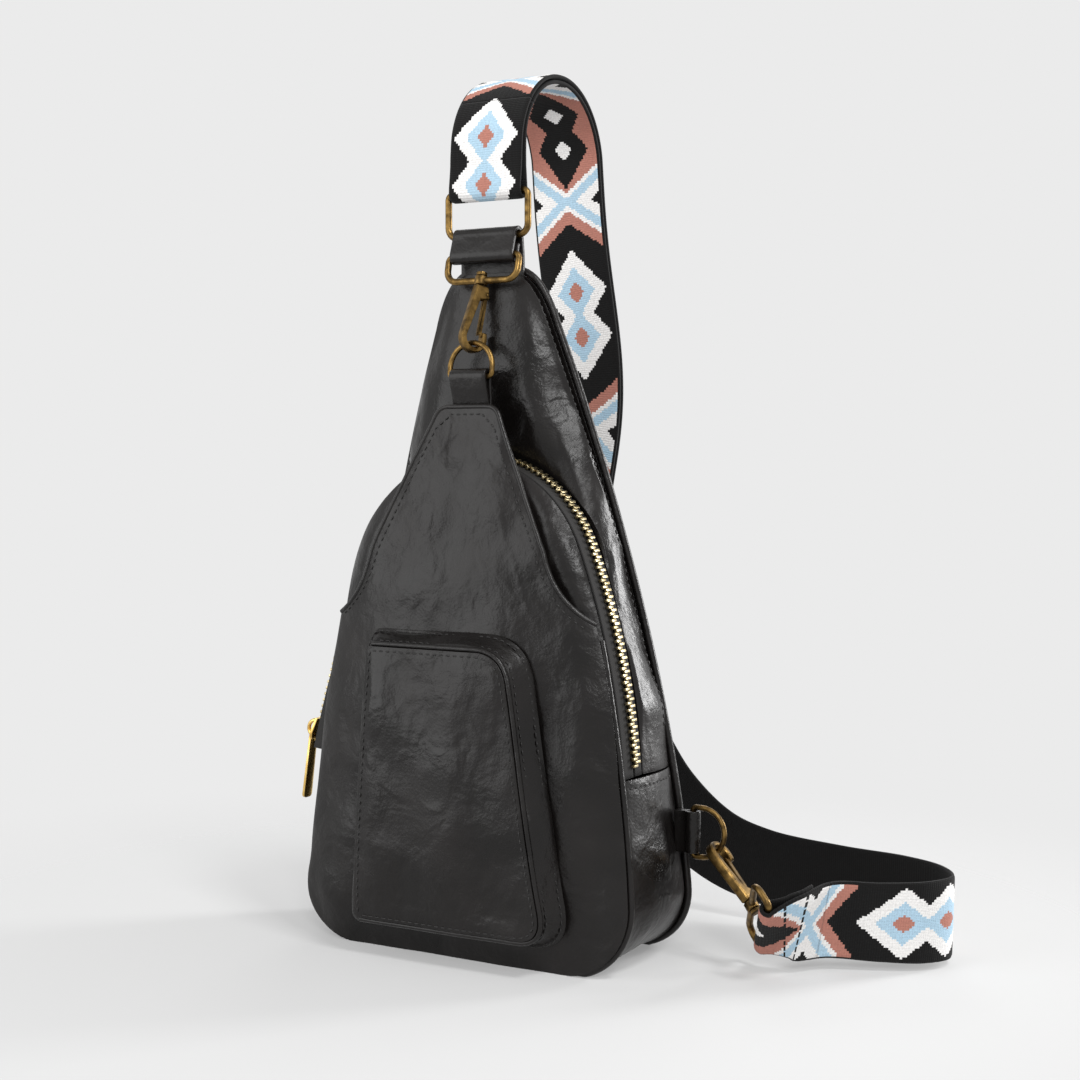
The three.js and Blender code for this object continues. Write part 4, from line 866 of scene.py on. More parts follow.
# %% Back piping
PIPING_R, PIPING_SINK, PIPING_UNDER = 1.6, 0.9, 1.4
piping_path = []
loop = np.vstack([body_outline[::2], (body_outline[::2] * [-1, 1])[::-1]])
for i, p in enumerate(loop):
    d = loop[(i + 1) % len(loop)] - loop[i - 1]
    d = d / np.linalg.norm(d)
    out = np.array([d[1], -d[0]])
    behind = max(-out[1], 0)
    y = back_face(p[1]) - PIPING_SINK * (1 - behind) + PIPING_R * behind * PIPING_UNDER
    z = max(p[1] + PIPING_R * max(out[1], 0), PIPING_R)
    piping_path.append((p[0] + out[0] * PIPING_R, y, z))
piping = wire("back_piping_leather", piping_path, PIPING_R)
dress(piping, leather, "bag", "back_piping")
print("piping points:", len(piping_path))

# %% [markdown]
# ## Rolled seams of the front
# Where the front meets the gusset, and along the free edges of the tongue and the pocket, the leather is
# turned over and stands up as a thin roll. A turned edge is round, so an open wire in leather gives its
# soft highlight.

# %% Front seam roll
ROLL_R, ROLL_OUT, ROLL_TOP_Z = 1.5, 0.6, 142.0
right_roll = [(half, z) for half, z in body_outline if z < ROLL_TOP_Z]
left_roll = [(front_x(-1, half, z), z) for half, z in right_roll[::-1]]
roll_path = [(x, front_seam(z) - ROLL_OUT, max(z, ROLL_R)) for x, z in left_roll + right_roll]
roll = wire("front_seam_roll", roll_path, ROLL_R, closed=False)
dress(roll, leather, "bag")
print("front seam roll points:", len(roll_path))

# %% Rolled edges of the tongue and the pocket
EDGE_ROLL_R = 1.15
CORNER_POINTS = 12
tongue_rim = [*tongue_edge, *[(front_x(-1, x, z), z) for x, z in tongue_edge[::-1]]]
# The pocket's roll goes along its foot, up its right side and back along its top
pocket_rim = pocket_outline(0.3, CORNER_POINTS)[: 5 * CORNER_POINTS + 1]
for name, line, lift in [
    ("tongue_edge_roll", tongue_rim, 0.6),
    ("pocket_rim_roll", pocket_rim, -OVERLAY_GAP - POCKET_DEPTH - 0.5),
]:
    dense = smooth_path([(x, 0, z) for x, z in line], 2.0)
    path = [
        (x, tongue_face(x, z) + lift - creases((x, 0, z), FRONT_CREASE) * 0.25, z) for x, _, z in dense
    ]
    edge_roll = wire(name, path, EDGE_ROLL_R, closed=False, smoothness=3)
    dress(edge_roll, leather, "bag")
    print(name, "points:", len(path))

# %% [markdown]
# ## Rings
# Each ring is a closed round bar, cast in one piece. It is drawn flat, as a rectangle with round corners or
# as a D, and then stood up where its CAD node is. By hand one would turn and move the curve.


# %% Rings and frames
def around(centre, radius, start, sweep, count):
    """Points of an arc in a flat plane, with angles in degrees."""
    return [
        (centre[0] + radius * math.cos(a), centre[1] + radius * math.sin(a))
        for a in np.radians(np.linspace(start, start + sweep, count))
    ]


def rounded_bar(half, low, high, low_corner, top_corner):
    """A rectangle with round corners as (x, z) points, from its lower bar round."""
    return [
        *around((half - low_corner, low + low_corner), low_corner, -90, 90, 8),
        *around((half - top_corner, high - top_corner), top_corner, 0, 90, 8),
        *around((-half + top_corner, high - top_corner), top_corner, 90, 90, 8),
        *around((-half + low_corner, low + low_corner), low_corner, 180, 90, 8),
    ]


def d_shape(half=10.6, side=4.1, corner=1.8):
    """A D as (x, z) points, with its straight bar below."""
    return [
        *around((half - corner, corner), corner, -90, 90, 7),
        *around((0, side), half, 0, 180, 33),
        *around((-half + corner, corner), corner, 180, 90, 7),
    ]


def stand(points, origin, x_axis, z_axis):
    """Flat (x, z) points placed in the frame."""
    o, x, z = (np.array(v, float) for v in (origin, x_axis, z_axis))
    return [o + x * p[0] + z * p[1] for p in points]


WIRE_R, D_WIRE_R, ADJUSTER_R = 1.5, 1.2, 1.3
X_AXIS, Z_AXIS = (1.0, 0.0, 0.0), (0.0, 0.0, 1.0)
RING_HALF, RING_RISE, CLASP_RISE = 20.2, 19.0, 11.3
OVAL = (5.2, 2.4)
CLASP_TILT = math.radians(12.5)
loop_bar = (0, -4.0, 312.0)
clasp_bar = np.array([0, -7.2, 303.3])
clasp_up = np.array([0, math.sin(CLASP_TILT), math.cos(CLASP_TILT)])
clasp_boss = clasp_bar - clasp_up * CLASP_RISE
lower_way = np.array([0.674, -0.303, -0.674])
lower_run = lower_way / np.linalg.norm(lower_way)
lower_bar = np.array([0.3502, -0.6722, 0.6524])
lower_boss = np.array([120.7248, 8.3732, 29.4219])
tongue_bar = (0, -18.65, 250.573)
tongue_up = (0, 0.1396, 0.9902)
side_bar = (90.047, 15.903, 56)
REAR_Y, ADJUSTER_Z, ADJUSTER_RISE, ADJUSTER_HALF = 78.0, 168.0, 12.5, 20.0
adjuster_mid = (0, REAR_Y, ADJUSTER_Z)


def brass_ring(node, body, points, origin, x_axis, z_axis, radius=WIRE_R):
    """Makes a ring in the place of its CAD node, on the body that turns with it."""
    ring = wire(node + "_wire", stand(points, origin, x_axis, z_axis), radius)
    dress(ring, antique_brass, body, node)


strap_ring_shape = rounded_bar(RING_HALF, 0, RING_RISE, 4.5, 2.4)
brass_ring("strap_ring", "strap_ring", strap_ring_shape, loop_bar, X_AXIS, Z_AXIS)
brass_ring("clasp_ring", "clasp", rounded_bar(17.8, 0, CLASP_RISE, *OVAL), clasp_boss, X_AXIS, clasp_up)
end_shape = rounded_bar(RING_HALF, 0, CLASP_RISE, *OVAL)
brass_ring("strap_end_ring", "strap_end", end_shape, lower_boss, lower_bar, lower_run)
brass_ring("tongue_d_ring", "tongue_ring", d_shape(), tongue_bar, X_AXIS, tongue_up, D_WIRE_R)
brass_ring("side_d_ring", "side_ring", d_shape(), side_bar, (0, 0, -1), X_AXIS, D_WIRE_R)
adjuster_shape = rounded_bar(ADJUSTER_HALF, -ADJUSTER_RISE, ADJUSTER_RISE, 2.4, 2.4)
brass_ring("strap_adjuster", "adjuster", adjuster_shape, adjuster_mid, X_AXIS, Z_AXIS, ADJUSTER_R)

bar_ends = [(side * ADJUSTER_HALF, REAR_Y, ADJUSTER_Z) for side in (-1, 1)]
adjuster_bar = wire("adjuster_middle_bar", bar_ends, ADJUSTER_R, closed=False)
dress(adjuster_bar, antique_brass, "adjuster")
print("made six rings and the adjuster's middle bar")

# %% [markdown]
# ## Swivel bosses
# A snap hook turns in a short barrel on its ring's lower bar. The barrel is a cylinder whose two ends are
# inset and bridged, which opens the bore, and whose rims are then rounded.


# %% Swivel bosses
BOSS_R, BOSS_LENGTH, BOSS_WALL, BOSS_ROUND = 2.9, 4.0, 1.35, 0.5


def swivel_boss(name, origin, along, body):
    """A turned barrel in the lower bar of a clasp ring, with round rims and a hole for the hook's neck."""
    bpy.ops.object.select_all(action="DESELECT")
    bpy.ops.mesh.primitive_cylinder_add(vertices=32, radius=BOSS_R * MM, depth=BOSS_LENGTH * MM)
    barrel = bpy.context.view_layer.objects.active
    barrel.name = name
    bpy.ops.object.mode_set(mode="EDIT")
    bpy.ops.mesh.select_mode(type="FACE")
    bpy.ops.mesh.select_all(action="DESELECT")
    bpy.ops.object.mode_set(mode="OBJECT")
    for face in barrel.data.polygons:
        face.select = abs(face.normal.z) > 0.9
    bpy.ops.object.mode_set(mode="EDIT")
    bpy.ops.mesh.inset(thickness=BOSS_WALL * MM)
    bpy.ops.mesh.bridge_edge_loops()
    bpy.ops.object.mode_set(mode="OBJECT")
    turned = Vector((0, 0, 1)).rotation_difference(Vector(along))
    barrel.data.transform(Matrix.Translation(Vector(origin) * MM) @ turned.to_matrix().to_4x4())
    face_outwards(barrel)
    round_edges(barrel, BOSS_ROUND)
    only(barrel)
    bpy.ops.object.shade_smooth_by_angle(angle=math.radians(40))
    dress(barrel, antique_brass, body)
    print(name, "faces:", len(barrel.data.polygons))


swivel_boss("clasp_ring_boss", clasp_boss, clasp_up, "clasp")
swivel_boss("strap_end_ring_boss", lower_boss, lower_run, "strap_end")

# %% [markdown]
# ## Cast and stamped brass
# The hooks, gates, pins, slider and pull have the right shapes already, so the CAD solids stay. A weld
# joins their loose triangles and a fine bevel takes the knife edges off, as tumbling does.


# %% Hooks, gates, slider and pull
def tumbled(node, material, width):
    """Finishes a CAD solid with its metal and a fine bevel of a width in mm."""
    solid = nodes[node]
    cover(solid, material)
    weld = solid.modifiers.new("weld", "WELD")
    weld.merge_threshold = 1e-6
    bevel = solid.modifiers.new("tumbled edges", "BEVEL")
    bevel.width = width * MM
    bevel.segments = 2
    bevel.limit_method = "ANGLE"
    bevel.angle_limit = math.radians(35)
    bevel.harden_normals = False
    solid.data.polygons.foreach_set("use_smooth", [True] * len(solid.data.polygons))


for place in ("upper", "lower"):
    tumbled(place + "_hook", antique_brass, 0.35)
    tumbled(place + "_gate", antique_brass, 0.25)
    tumbled(place + "_gate_pin", antique_brass, 0.15)
for node in ("zip_slider", "zip_pull"):
    tumbled(node, bright_brass, 0.3)
print("cast pieces finished")

# %% [markdown]
# ## Folded leather loops
# The top loop is one strip of leather. It rises from the neck, goes over the strap ring's bar, comes down
# in front round the clasp ring's bar and is sewn to itself. The two tabs are shorter folds of the same
# leather.


# %% Leather strips round the bars
def strip(name, path, across, width, thickness, columns):
    """A closed band along a path: points in mm, with its width along `across`."""
    path = np.array(path, float)
    along = np.gradient(path, axis=0)
    along /= np.linalg.norm(along, axis=1)[:, None]
    w = np.array(across, float) / np.linalg.norm(across)
    points, faces = [], []
    for p, t in zip(path, along):
        n = np.cross(t, w)
        n /= np.linalg.norm(n)
        for side in (1, -1):
            for k in range(columns + 1):
                x = (k / columns - 0.5) * width * side
                points.append(p + w * x + n * side * thickness / 2)
    ring = 2 * (columns + 1)
    for i in range(len(path) - 1):
        for k in range(ring):
            a, b = i * ring + k, i * ring + (k + 1) % ring
            faces.append((a, b, b + ring, a + ring))
    for base, flip in ((0, False), ((len(path) - 1) * ring, True)):
        for k in range(columns):
            quad = (base + k, base + k + 1, base + ring - 2 - k, base + ring - 1 - k)
            faces.append(quad if flip else quad[::-1])
    piece = mesh_piece(name, points, faces)
    face_outwards(piece)
    round_edges(piece, 0.4, 2, 60)
    return piece


# %% Top loop and tabs
TAB_R, TAB_WIDTH, TAB_STEP = 2.55, 18.0, 0.7
loop_path = [(0.1, 283), (0.1, 295), (0.0, 303), (-0.6, 308.5)]
loop_path += around(loop_bar[1:], 2.85, 5, 175, 14)
loop_path += around(clasp_bar[1:], 2.45, 165, 195, 14)
loop_path += [(-4.5, 306.3), (-3.6, 308.0)]
loop_mid = smooth_path([(0, y, z) for y, z in loop_path], TAB_STEP)
top_loop = strip("top_loop_leather", loop_mid, X_AXIS, 31.8, 1.8, 16)
dress(top_loop, leather, "bag", "top_loop")

low_z, high_z = 226, 237
low_back, high_back = tongue_back(0, low_z), tongue_back(0, high_z)
tab_path = [(low_back + 1.3, low_z), (high_back + 1.3, high_z), (tongue_bar[1] - 1.6, 246.5)]
tab_path += around(tongue_bar[1:], TAB_R, 200, -220, 14)
tab_path += [(high_back + 3.3, high_z + 1), (low_back + 3.3, low_z)]
tab_mid = smooth_path([(0, y, z) for y, z in tab_path], TAB_STEP)
tongue_tab = strip("tongue_tab_leather", tab_mid, X_AXIS, TAB_WIDTH, 1.8, 10)
dress(tongue_tab, leather, "bag", "tongue_tab")

side_path = [(82.0, 14.9), (86.0, 14.9)]
side_path += around(side_bar[:2], TAB_R, 215, 290, 14)
side_path += [(86.0, 16.9), (82.0, 16.9)]
side_mid = smooth_path([(x, y, side_bar[2]) for x, y in side_path], TAB_STEP)
side_tab = strip("side_tab_leather", side_mid, Z_AXIS, TAB_WIDTH, 1.7, 10)
dress(side_tab, leather, "bag", "side_tab")
print("loop and tab faces:", [len(tab.data.polygons) for tab in (top_loop, tongue_tab, side_tab)])

# %% [markdown]
# ## The zip
# A metal zip is two rows of stamped teeth clamped on the edges of two tapes. The tapes are thin sheets on
# the same arch, and the rows of teeth are half a pitch apart, so that the teeth mesh.


# %% Zip tapes
def tape_at(low, high):
    """The formula of a tape between two depths, measured from the middle of the zip."""

    def at(u, v):
        p, n = zip_arch(u * zip_length)
        y = zip_y(p[1]) + low + (high - low) * v
        # On the left leg the front tape runs in to the tucked seam
        reach = -p[0] - arch_half(p[1]) + tuck(p[1]) if p[0] < 0 and low < -TAPE_HALF else 0
        return p[0] - n[0] * SLACK + reach * max(1 - 2 * v, 0), y, p[1] - n[1] * SLACK

    return at


CHAIN_HALF, TAPE_THICK = 0.7, 0.9
for name, node, low, high in [
    ("front_zip_tape", "zip_tape_front", -ZIP_SETBACK + LEATHER + SEAM, -CHAIN_HALF),
    ("rear_zip_tape", "zip_tape_rear", CHAIN_HALF, TAPE_HALF),
]:
    tape = leather_sheet(name, tape_at(low, high), 120, 4, TAPE_THICK, (0, 0, crown_z), 0.0, rim=0)
    dress(tape, tape_cloth, "bag", node)
    print(name, "faces:", len(tape.data.polygons))

# %% [markdown]
# ## Zip teeth
# One tooth is a block whose tip is narrower than its root, with its edges rounded. It is shaped in
# millimetres, a thousand times too large, and comes down to size when its copies are laid along the arch.

# %% Zip teeth
TOOTH_PITCH, TOOTH_WIDTH, TOOTH_LENGTH, TOOTH_THICK, TOOTH_ROUND = 2.9, 1.35, 4.2, 2.2, 0.25
FIRST_TOOTH, LAST_GAP, SLIDER_END = 13.5, 4.0, 100.0
TIP_APART, TIP_MESHED, ROOT = 1.0, -1.1, 3.1
TOOTH_RISE, TOOTH_FLAT = 0.9, 0.8
bpy.ops.object.select_all(action="DESELECT")
bpy.ops.mesh.primitive_cube_add(size=1)
tooth = bpy.context.view_layer.objects.active
tooth.data.transform(Matrix.Diagonal((TOOTH_WIDTH, TOOTH_LENGTH, TOOTH_THICK, 1)))
for corner_point in tooth.data.vertices:
    if corner_point.co.y < 0:
        corner_point.co.z *= 0.8
        corner_point.co.x *= 0.9
round_edges(tooth, TOOTH_ROUND / MM, 2, 30)
tooth_points = np.array([v.co for v in tooth.data.vertices])
tooth_faces = [tuple(f.vertices) for f in tooth.data.polygons]
bpy.data.objects.remove(tooth)


def teeth_row(name, node, side, shift):
    """A row of teeth. Where the slider runs, the rows stay apart for its post; above that they interlock."""
    points, faces = [], []
    s = FIRST_TOOTH + shift
    while s < zip_length - LAST_GAP:
        p, n = zip_arch(s)
        tip = TIP_APART if s < SLIDER_END else TIP_MESHED
        ahead = np.array([n[1], -n[0]])
        base = len(points)
        for x, y, z in tooth_points:
            across = side * np.interp(y, (-TOOTH_LENGTH / 2, TOOTH_LENGTH / 2), (tip, ROOT))
            q = p + ahead * x + n * (TOOTH_RISE + TOOTH_FLAT * z)
            points.append((q[0], zip_y(p[1]) + across, q[1]))
        faces += [tuple(base + i for i in f) for f in tooth_faces]
        s += TOOTH_PITCH
    row = mesh_piece(name, points, faces)
    face_outwards(row)
    dress(row, tooth_brass, "bag", node)
    print(name, "teeth:", len(points) // len(tooth_points))


teeth_row("front_row_of_zip_teeth", "zip_teeth_front", -1, 0)
teeth_row("rear_row_of_zip_teeth", "zip_teeth_rear", 1, TOOTH_PITCH / 2)

# %% [markdown]
# ## Stitches
# Each seam is sewn with a lockstitch: short spindles of thread that dip into the leather at both ends.
# One spindle has only a few faces, because there are hundreds of them. A seam is a line of points with
# the surface's normal.


# %% Lines of stitches
STITCH_PITCH, STITCH_LENGTH, STITCH_R, STITCH_SIDES = 3.4, 2.6, 0.38, 6
SPINDLE = [(-0.5, 0.35, -0.25), (-0.2, 1, 0.12), (0.2, 1, 0.12), (0.5, 0.35, -0.25)]


def along_line(s, run, values):
    """The value at a length along a line, between its points' own values."""
    return np.array([np.interp(s, run, values[:, i]) for i in range(3)])


def stitch_line(name, path, normals, closed=False):
    """A row of stitches along a path. SPINDLE gives each ring's place, size and height on a stitch."""
    path, normals = np.array(path, float), np.array(normals, float)
    if closed:
        path, normals = np.vstack([path, path[:1]]), np.vstack([normals, normals[:1]])
    run = run_along(path)
    sides = range(STITCH_SIDES)
    points, faces = [], []
    for k in range(int(run[-1] / STITCH_PITCH)):
        first = len(points)
        for share, size, height in SPINDLE:
            s = (k + 0.5) * STITCH_PITCH + share * STITCH_LENGTH
            p = along_line(s, run, path)
            n = along_line(s, run, normals)
            n /= np.linalg.norm(n)
            t = along_line(s + 0.1, run, path) - p
            t /= np.linalg.norm(t) + 1e-9
            b = np.cross(t, n)
            r = STITCH_R * size
            for a in np.linspace(0, 2 * math.pi, STITCH_SIDES, endpoint=False):
                points.append(p + n * (height + r * math.sin(a)) + b * r * math.cos(a))
        last = len(points) - STITCH_SIDES
        for ring in range(first, last, STITCH_SIDES):
            for i in sides:
                j = (i + 1) % STITCH_SIDES
                faces.append((ring + i, ring + j, ring + STITCH_SIDES + j, ring + STITCH_SIDES + i))
        faces.append(tuple(first + i for i in sides)[::-1])
        faces.append(tuple(last + i for i in sides))
    line = mesh_piece(name, points, faces)
    face_outwards(line)
    dress(line, thread, "bag")
    print(name, "faces:", len(faces))


def on_surface(piece, guides, towards):
    """Points of a leather piece's outer face met by rays from guide points, with the normals there."""
    found, normals = [], []
    for guide in guides:
        hit, place, normal, _ = piece.ray_cast(Vector(guide) * MM, Vector(towards))
        if hit:
            found.append(np.array(place) / MM)
            normals.append(np.array(normal))
    return found, normals


def inset_outline(points, distance):
    """A polyline of (x, z) points moved to its left by a distance."""
    pts = np.array(points, float)
    d = np.gradient(pts, axis=0)
    d /= np.linalg.norm(d, axis=1)[:, None] + 1e-9
    return pts + np.stack([-d[:, 1], d[:, 0]], 1) * distance


# %% Seams of the front
bpy.context.view_layer.update()
FORWARD, IN_FRONT = (0, 1, 0), -90.0
TONGUE_INSET, FACE_INSET, WALL_SEAM_POINTS = 3.2, 2.6, 160
edge_right = [(tongue_half(z), z) for z in np.linspace(FLARE_Z + 1, TONGUE_TOP_Z - 7, 90)]
edge_top = [(x, TONGUE_TOP_Z) for x in np.linspace(9, -9, 10)]
edge_left = [(-x, z) for x, z in edge_right[::-1]]
tongue_line = inset_outline(edge_right + edge_top + edge_left, TONGUE_INSET)
guides = [(x, IN_FRONT, z) for x, z in tongue_line]
stitch_line("tongue_seam", *on_surface(tongue_panel, guides, FORWARD))

guides = [(x, IN_FRONT, z) for x, z in pocket_outline(-FACE_INSET, CORNER_POINTS)]
stitch_line("pocket_face_seam", *on_surface(pocket_face, guides, FORWARD), closed=True)
for share, label in ((0.2, "foot"), (0.78, "rim")):
    wall_line = [
        face_and_normal(pocket_wall_at, u, share, pocket_heart, looped=True)
        for u in np.linspace(0, 1, WALL_SEAM_POINTS, endpoint=False)
    ]
    stitch_line("pocket_wall_seam_" + label, *zip(*wall_line), closed=True)

# %% Seams of the sides
GUSSET_SEAM_DOWN, BACK_SEAM_IN = 3.5, 5.2
seam_depths = np.linspace(front_seam(80) + 4, back_face(80) - 4, 20)
seam_heights = np.linspace(100, 285, 90)
for side, label in ((-1, "left"), (1, "right")):
    guides = [(side * 120, y, GUSSET_TOP - GUSSET_SEAM_DOWN) for y in seam_depths]
    stitch_line("gusset_top_seam_" + label, *on_surface(lower_gusset, guides, (-side, 0, 0)))
    guides = [(side * (body_half(z) + 30), back_face(z) - BACK_SEAM_IN, z) for z in seam_heights]
    stitch_line("back_seam_" + label, *on_surface(upper_panel, guides, (-side, 0, 0)))

# %% [markdown]
# ## The jacquard strap
# The strap is one woven band, 36 mm wide. It folds round its ring: the outer layer runs over the crest
# and down to the adjuster, the inner layer carries the pattern on its inner side. Below the adjuster it
# is a single layer that swings round the side of the bag to the lower clasp. It is cut into a few pieces,
# at its fittings.

# %% Strap path
STRAP_WIDTH, STRAP_THICK, LAYER, SELVEDGE = 36.0, 1.9, 2.5, 1.2
HALF_BAND = 1.1
BAR_R = WIRE_R + SLACK + HALF_BAND
RING_Y, RING_Z = loop_bar[1], loop_bar[2] + RING_RISE
ARCH_R, ARCH_Z = 37.0, 348.0
FRONT_Y = RING_Y - BAR_R + 1.4
ARCH_Y = FRONT_Y + ARCH_R
fold_r = ADJUSTER_R + SLACK + HALF_BAND
BEHIND_BAR = REAR_Y - fold_r

outer = [(0, RING_Y - BAR_R, RING_Z + 2), (0, FRONT_Y - 0.3, RING_Z + 11)]
for a in np.linspace(math.pi, 0, 13):
    outer.append((0, ARCH_Y + ARCH_R * math.cos(a), ARCH_Z + ARCH_R * math.sin(a)))
outer += [
    (0, (ARCH_Y + ARCH_R + BEHIND_BAR) / 2, (ARCH_Z + ADJUSTER_Z) / 2),
    (0, BEHIND_BAR, ADJUSTER_Z + ADJUSTER_RISE + 8),
    (0, BEHIND_BAR, ADJUSTER_Z + ADJUSTER_RISE),
]
outer_path = smooth_path(outer)
# Behind the bag the strap bows towards the side that it is clipped to, and comes back to the adjuster
REAR_BOW, BOW_TOP = 9.0, ARCH_Z + 32
drop = np.clip((BOW_TOP - outer_path[:, 2]) / (BOW_TOP - ADJUSTER_Z - ADJUSTER_RISE), 0, 1)
drop = np.where(outer_path[:, 1] > ARCH_Y, drop, 0)
outer_path[:, 0] += REAR_BOW * np.sin(math.pi * drop**1.6) ** 2
slope = np.gradient(outer_path, axis=0)
slope /= np.linalg.norm(slope, axis=1)[:, None]
inward = np.stack([np.zeros(len(slope)), slope[:, 2], -slope[:, 1]], 1)
gap = np.interp(np.arange(len(outer_path)), [0, 9, 30], [2 * BAR_R, LAYER + 1.2, LAYER])
inner_path = outer_path + inward * gap[:, None]
under_bar = [(0, y, z) for y, z in around((RING_Y, RING_Z), BAR_R, 0, -180, 13)]
wrap = smooth_path([inner_path[3], *under_bar, outer_path[1]], 0.8)

fold = [(0, y, z) for y, z in around((REAR_Y, ADJUSTER_Z), fold_r, 0, -180, 11)]
outer_bar_r = fold_r + 0.2
middle_r = outer_bar_r + LAYER
cross = math.asin((outer_bar_r + middle_r) / ADJUSTER_RISE)


def about(z, radius, angle):
    """A point round one of the adjuster's bars, at a height from its middle bar."""
    return (0, REAR_Y + radius * math.cos(angle), ADJUSTER_Z + z + radius * math.sin(angle))


threaded = [about(ADJUSTER_RISE, outer_bar_r, math.pi + cross)]
threaded += [about(0, middle_r, share * cross) for share in (1, 0.5, 0, -0.5, -1)]
threaded += [about(-ADJUSTER_RISE, outer_bar_r, math.pi - cross)]
threaded += [(0, BEHIND_BAR, ADJUSTER_Z - ADJUSTER_RISE - below) for below in (0, 8)]
print("strap over the crest:", len(outer_path), "mm")

# %% Strap round the side to the clasp
# Points of the band's middle line, each with the direction of its width
FLOOR_RUN = [
    ((0, 77, 133), (1, 0, 0)),
    ((3, 80, 119), (0.99, 0, 0.1)),
    ((9, 83, 106), (0.95, 0, 0.3)),
    ((20, 86, 90), (0.84, 0, 0.54)),
    ((42, 88, 56), (0.55, -0.02, 0.83)),
    ((67, 89, 35), (0.25, -0.05, 0.97)),
    ((92, 89, 26.5), (0.1, -0.06, 0.99)),
    ((130, 88, 23), (0, -0.08, 1)),
    ((162, 84, 22.5), (0, -0.08, 1)),
    ((181, 75, 22), (0, -0.06, 1)),
    ((189, 61, 21.5), (0.05, -0.06, 1)),
    ((182, 47, 21.5), (0.08, -0.12, 1)),
    ((166, 36, 22), (0.1, -0.2, 0.97)),
    ((148, 26, 23), (0.15, -0.25, 0.95)),
]
end_bar = lower_boss + lower_run * CLASP_RISE
arriving = end_bar - np.array(FLOOR_RUN[-1][0])
arriving = arriving - lower_bar * (arriving @ lower_bar)
arriving = arriving / np.linalg.norm(arriving)
end_side = np.cross(lower_bar, arriving)
end_side = end_side / np.linalg.norm(end_side) * math.copysign(1, end_side[1])
tail_fold = [end_bar - arriving * 12 - end_side * BAR_R]
for a in np.linspace(0, math.pi, 9):
    tail_fold.append(end_bar - end_side * BAR_R * math.cos(a) + arriving * BAR_R * math.sin(a))
run_stations = [(p, X_AXIS) for p in threaded] + FLOOR_RUN + [(p, lower_bar) for p in tail_fold]
twisting = 0.45 * lower_bar + 0.55 * np.array(FLOOR_RUN[-1][1])
run_stations[len(threaded) + len(FLOOR_RUN)] = (tail_fold[0], twisting / np.linalg.norm(twisting))
coming = smooth_path([(*p, *w) for p, w in run_stations])
clasp_row = int(np.argmin(np.linalg.norm(coming[:, :3] - tail_fold[5], axis=1)))
# The sewn end lies on the back of the band that comes in, so it follows that band's own twist
for back_by, off in ((11, 3.6), (16, 2.8), (22, 2.6)):
    row = clasp_row - back_by
    normal = np.cross(coming[row + 1, :3] - coming[row - 1, :3], coming[row, 3:])
    normal = normal / np.linalg.norm(normal) * math.copysign(off, normal @ end_side)
    run_stations.append((coming[row, :3] + normal, coming[row, 3:]))
run_full = smooth_path([(*p, *w) for p, w in run_stations])
print("strap round the side:", len(run_full), "mm")

# %% [markdown]
# ## The pattern
# A jacquard pattern is counted in threads, so it is worked out thread by thread: one colour for each cell
# of the mesh, from where the cell lies across and along the band. The pattern has crosses, and between
# them by turns a pair of nested diamonds and a shorter pair of dark hexagons with a pale eye.

# %% Pattern by formula
BLACK, WHITE = colour("#0A0909"), colour("#FCFAF8")
SKY, CLAY = colour("#B9D8EC"), colour("#BE8172")
NESTED_SPAN, HEXAGON_SPAN = 106.0, 66.0
PERIOD = NESTED_SPAN + HEXAGON_SPAN
PLAIN_EDGE = 16.8


def woven_colour(across, along):
    """The yarn that shows at a place of the band, in mm from its middle line and along it."""
    u = abs(across)
    v = along % PERIOD
    if u > PLAIN_EDGE:
        return BLACK
    nested = v < NESTED_SPAN
    half = (NESTED_SPAN if nested else HEXAGON_SPAN) / 2
    middle = abs((v if nested else v - NESTED_SPAN) - half)
    eye = abs(middle - (10.5 if nested else 8.75))
    if nested:
        m = u + 0.8 * eye
        if m < 4.2:
            return CLAY
        if m < 9.8:
            return SKY
        if m < 16.2:
            return WHITE
    elif u + eye < 4.6:
        return WHITE
    elif u + 0.7 * eye < 13.0:
        return BLACK
    to_cross = half - middle
    t = to_cross - 0.75 * u
    if t < -9.5:
        return BLACK
    if t < -3.5:
        return WHITE
    if t < 1.5:
        return SKY
    if t < 4:
        return WHITE
    return CLAY if t < 10 or not nested else BLACK


# %% [markdown]
# ## Woven band
# A strap piece is a flat band along a path, about one cell to a millimetre both ways, so that each cell
# can take one yarn's colour. The band turns with its path: at every point it has its own direction of
# width. Its edges are pressed thinner, as a woven selvedge is.


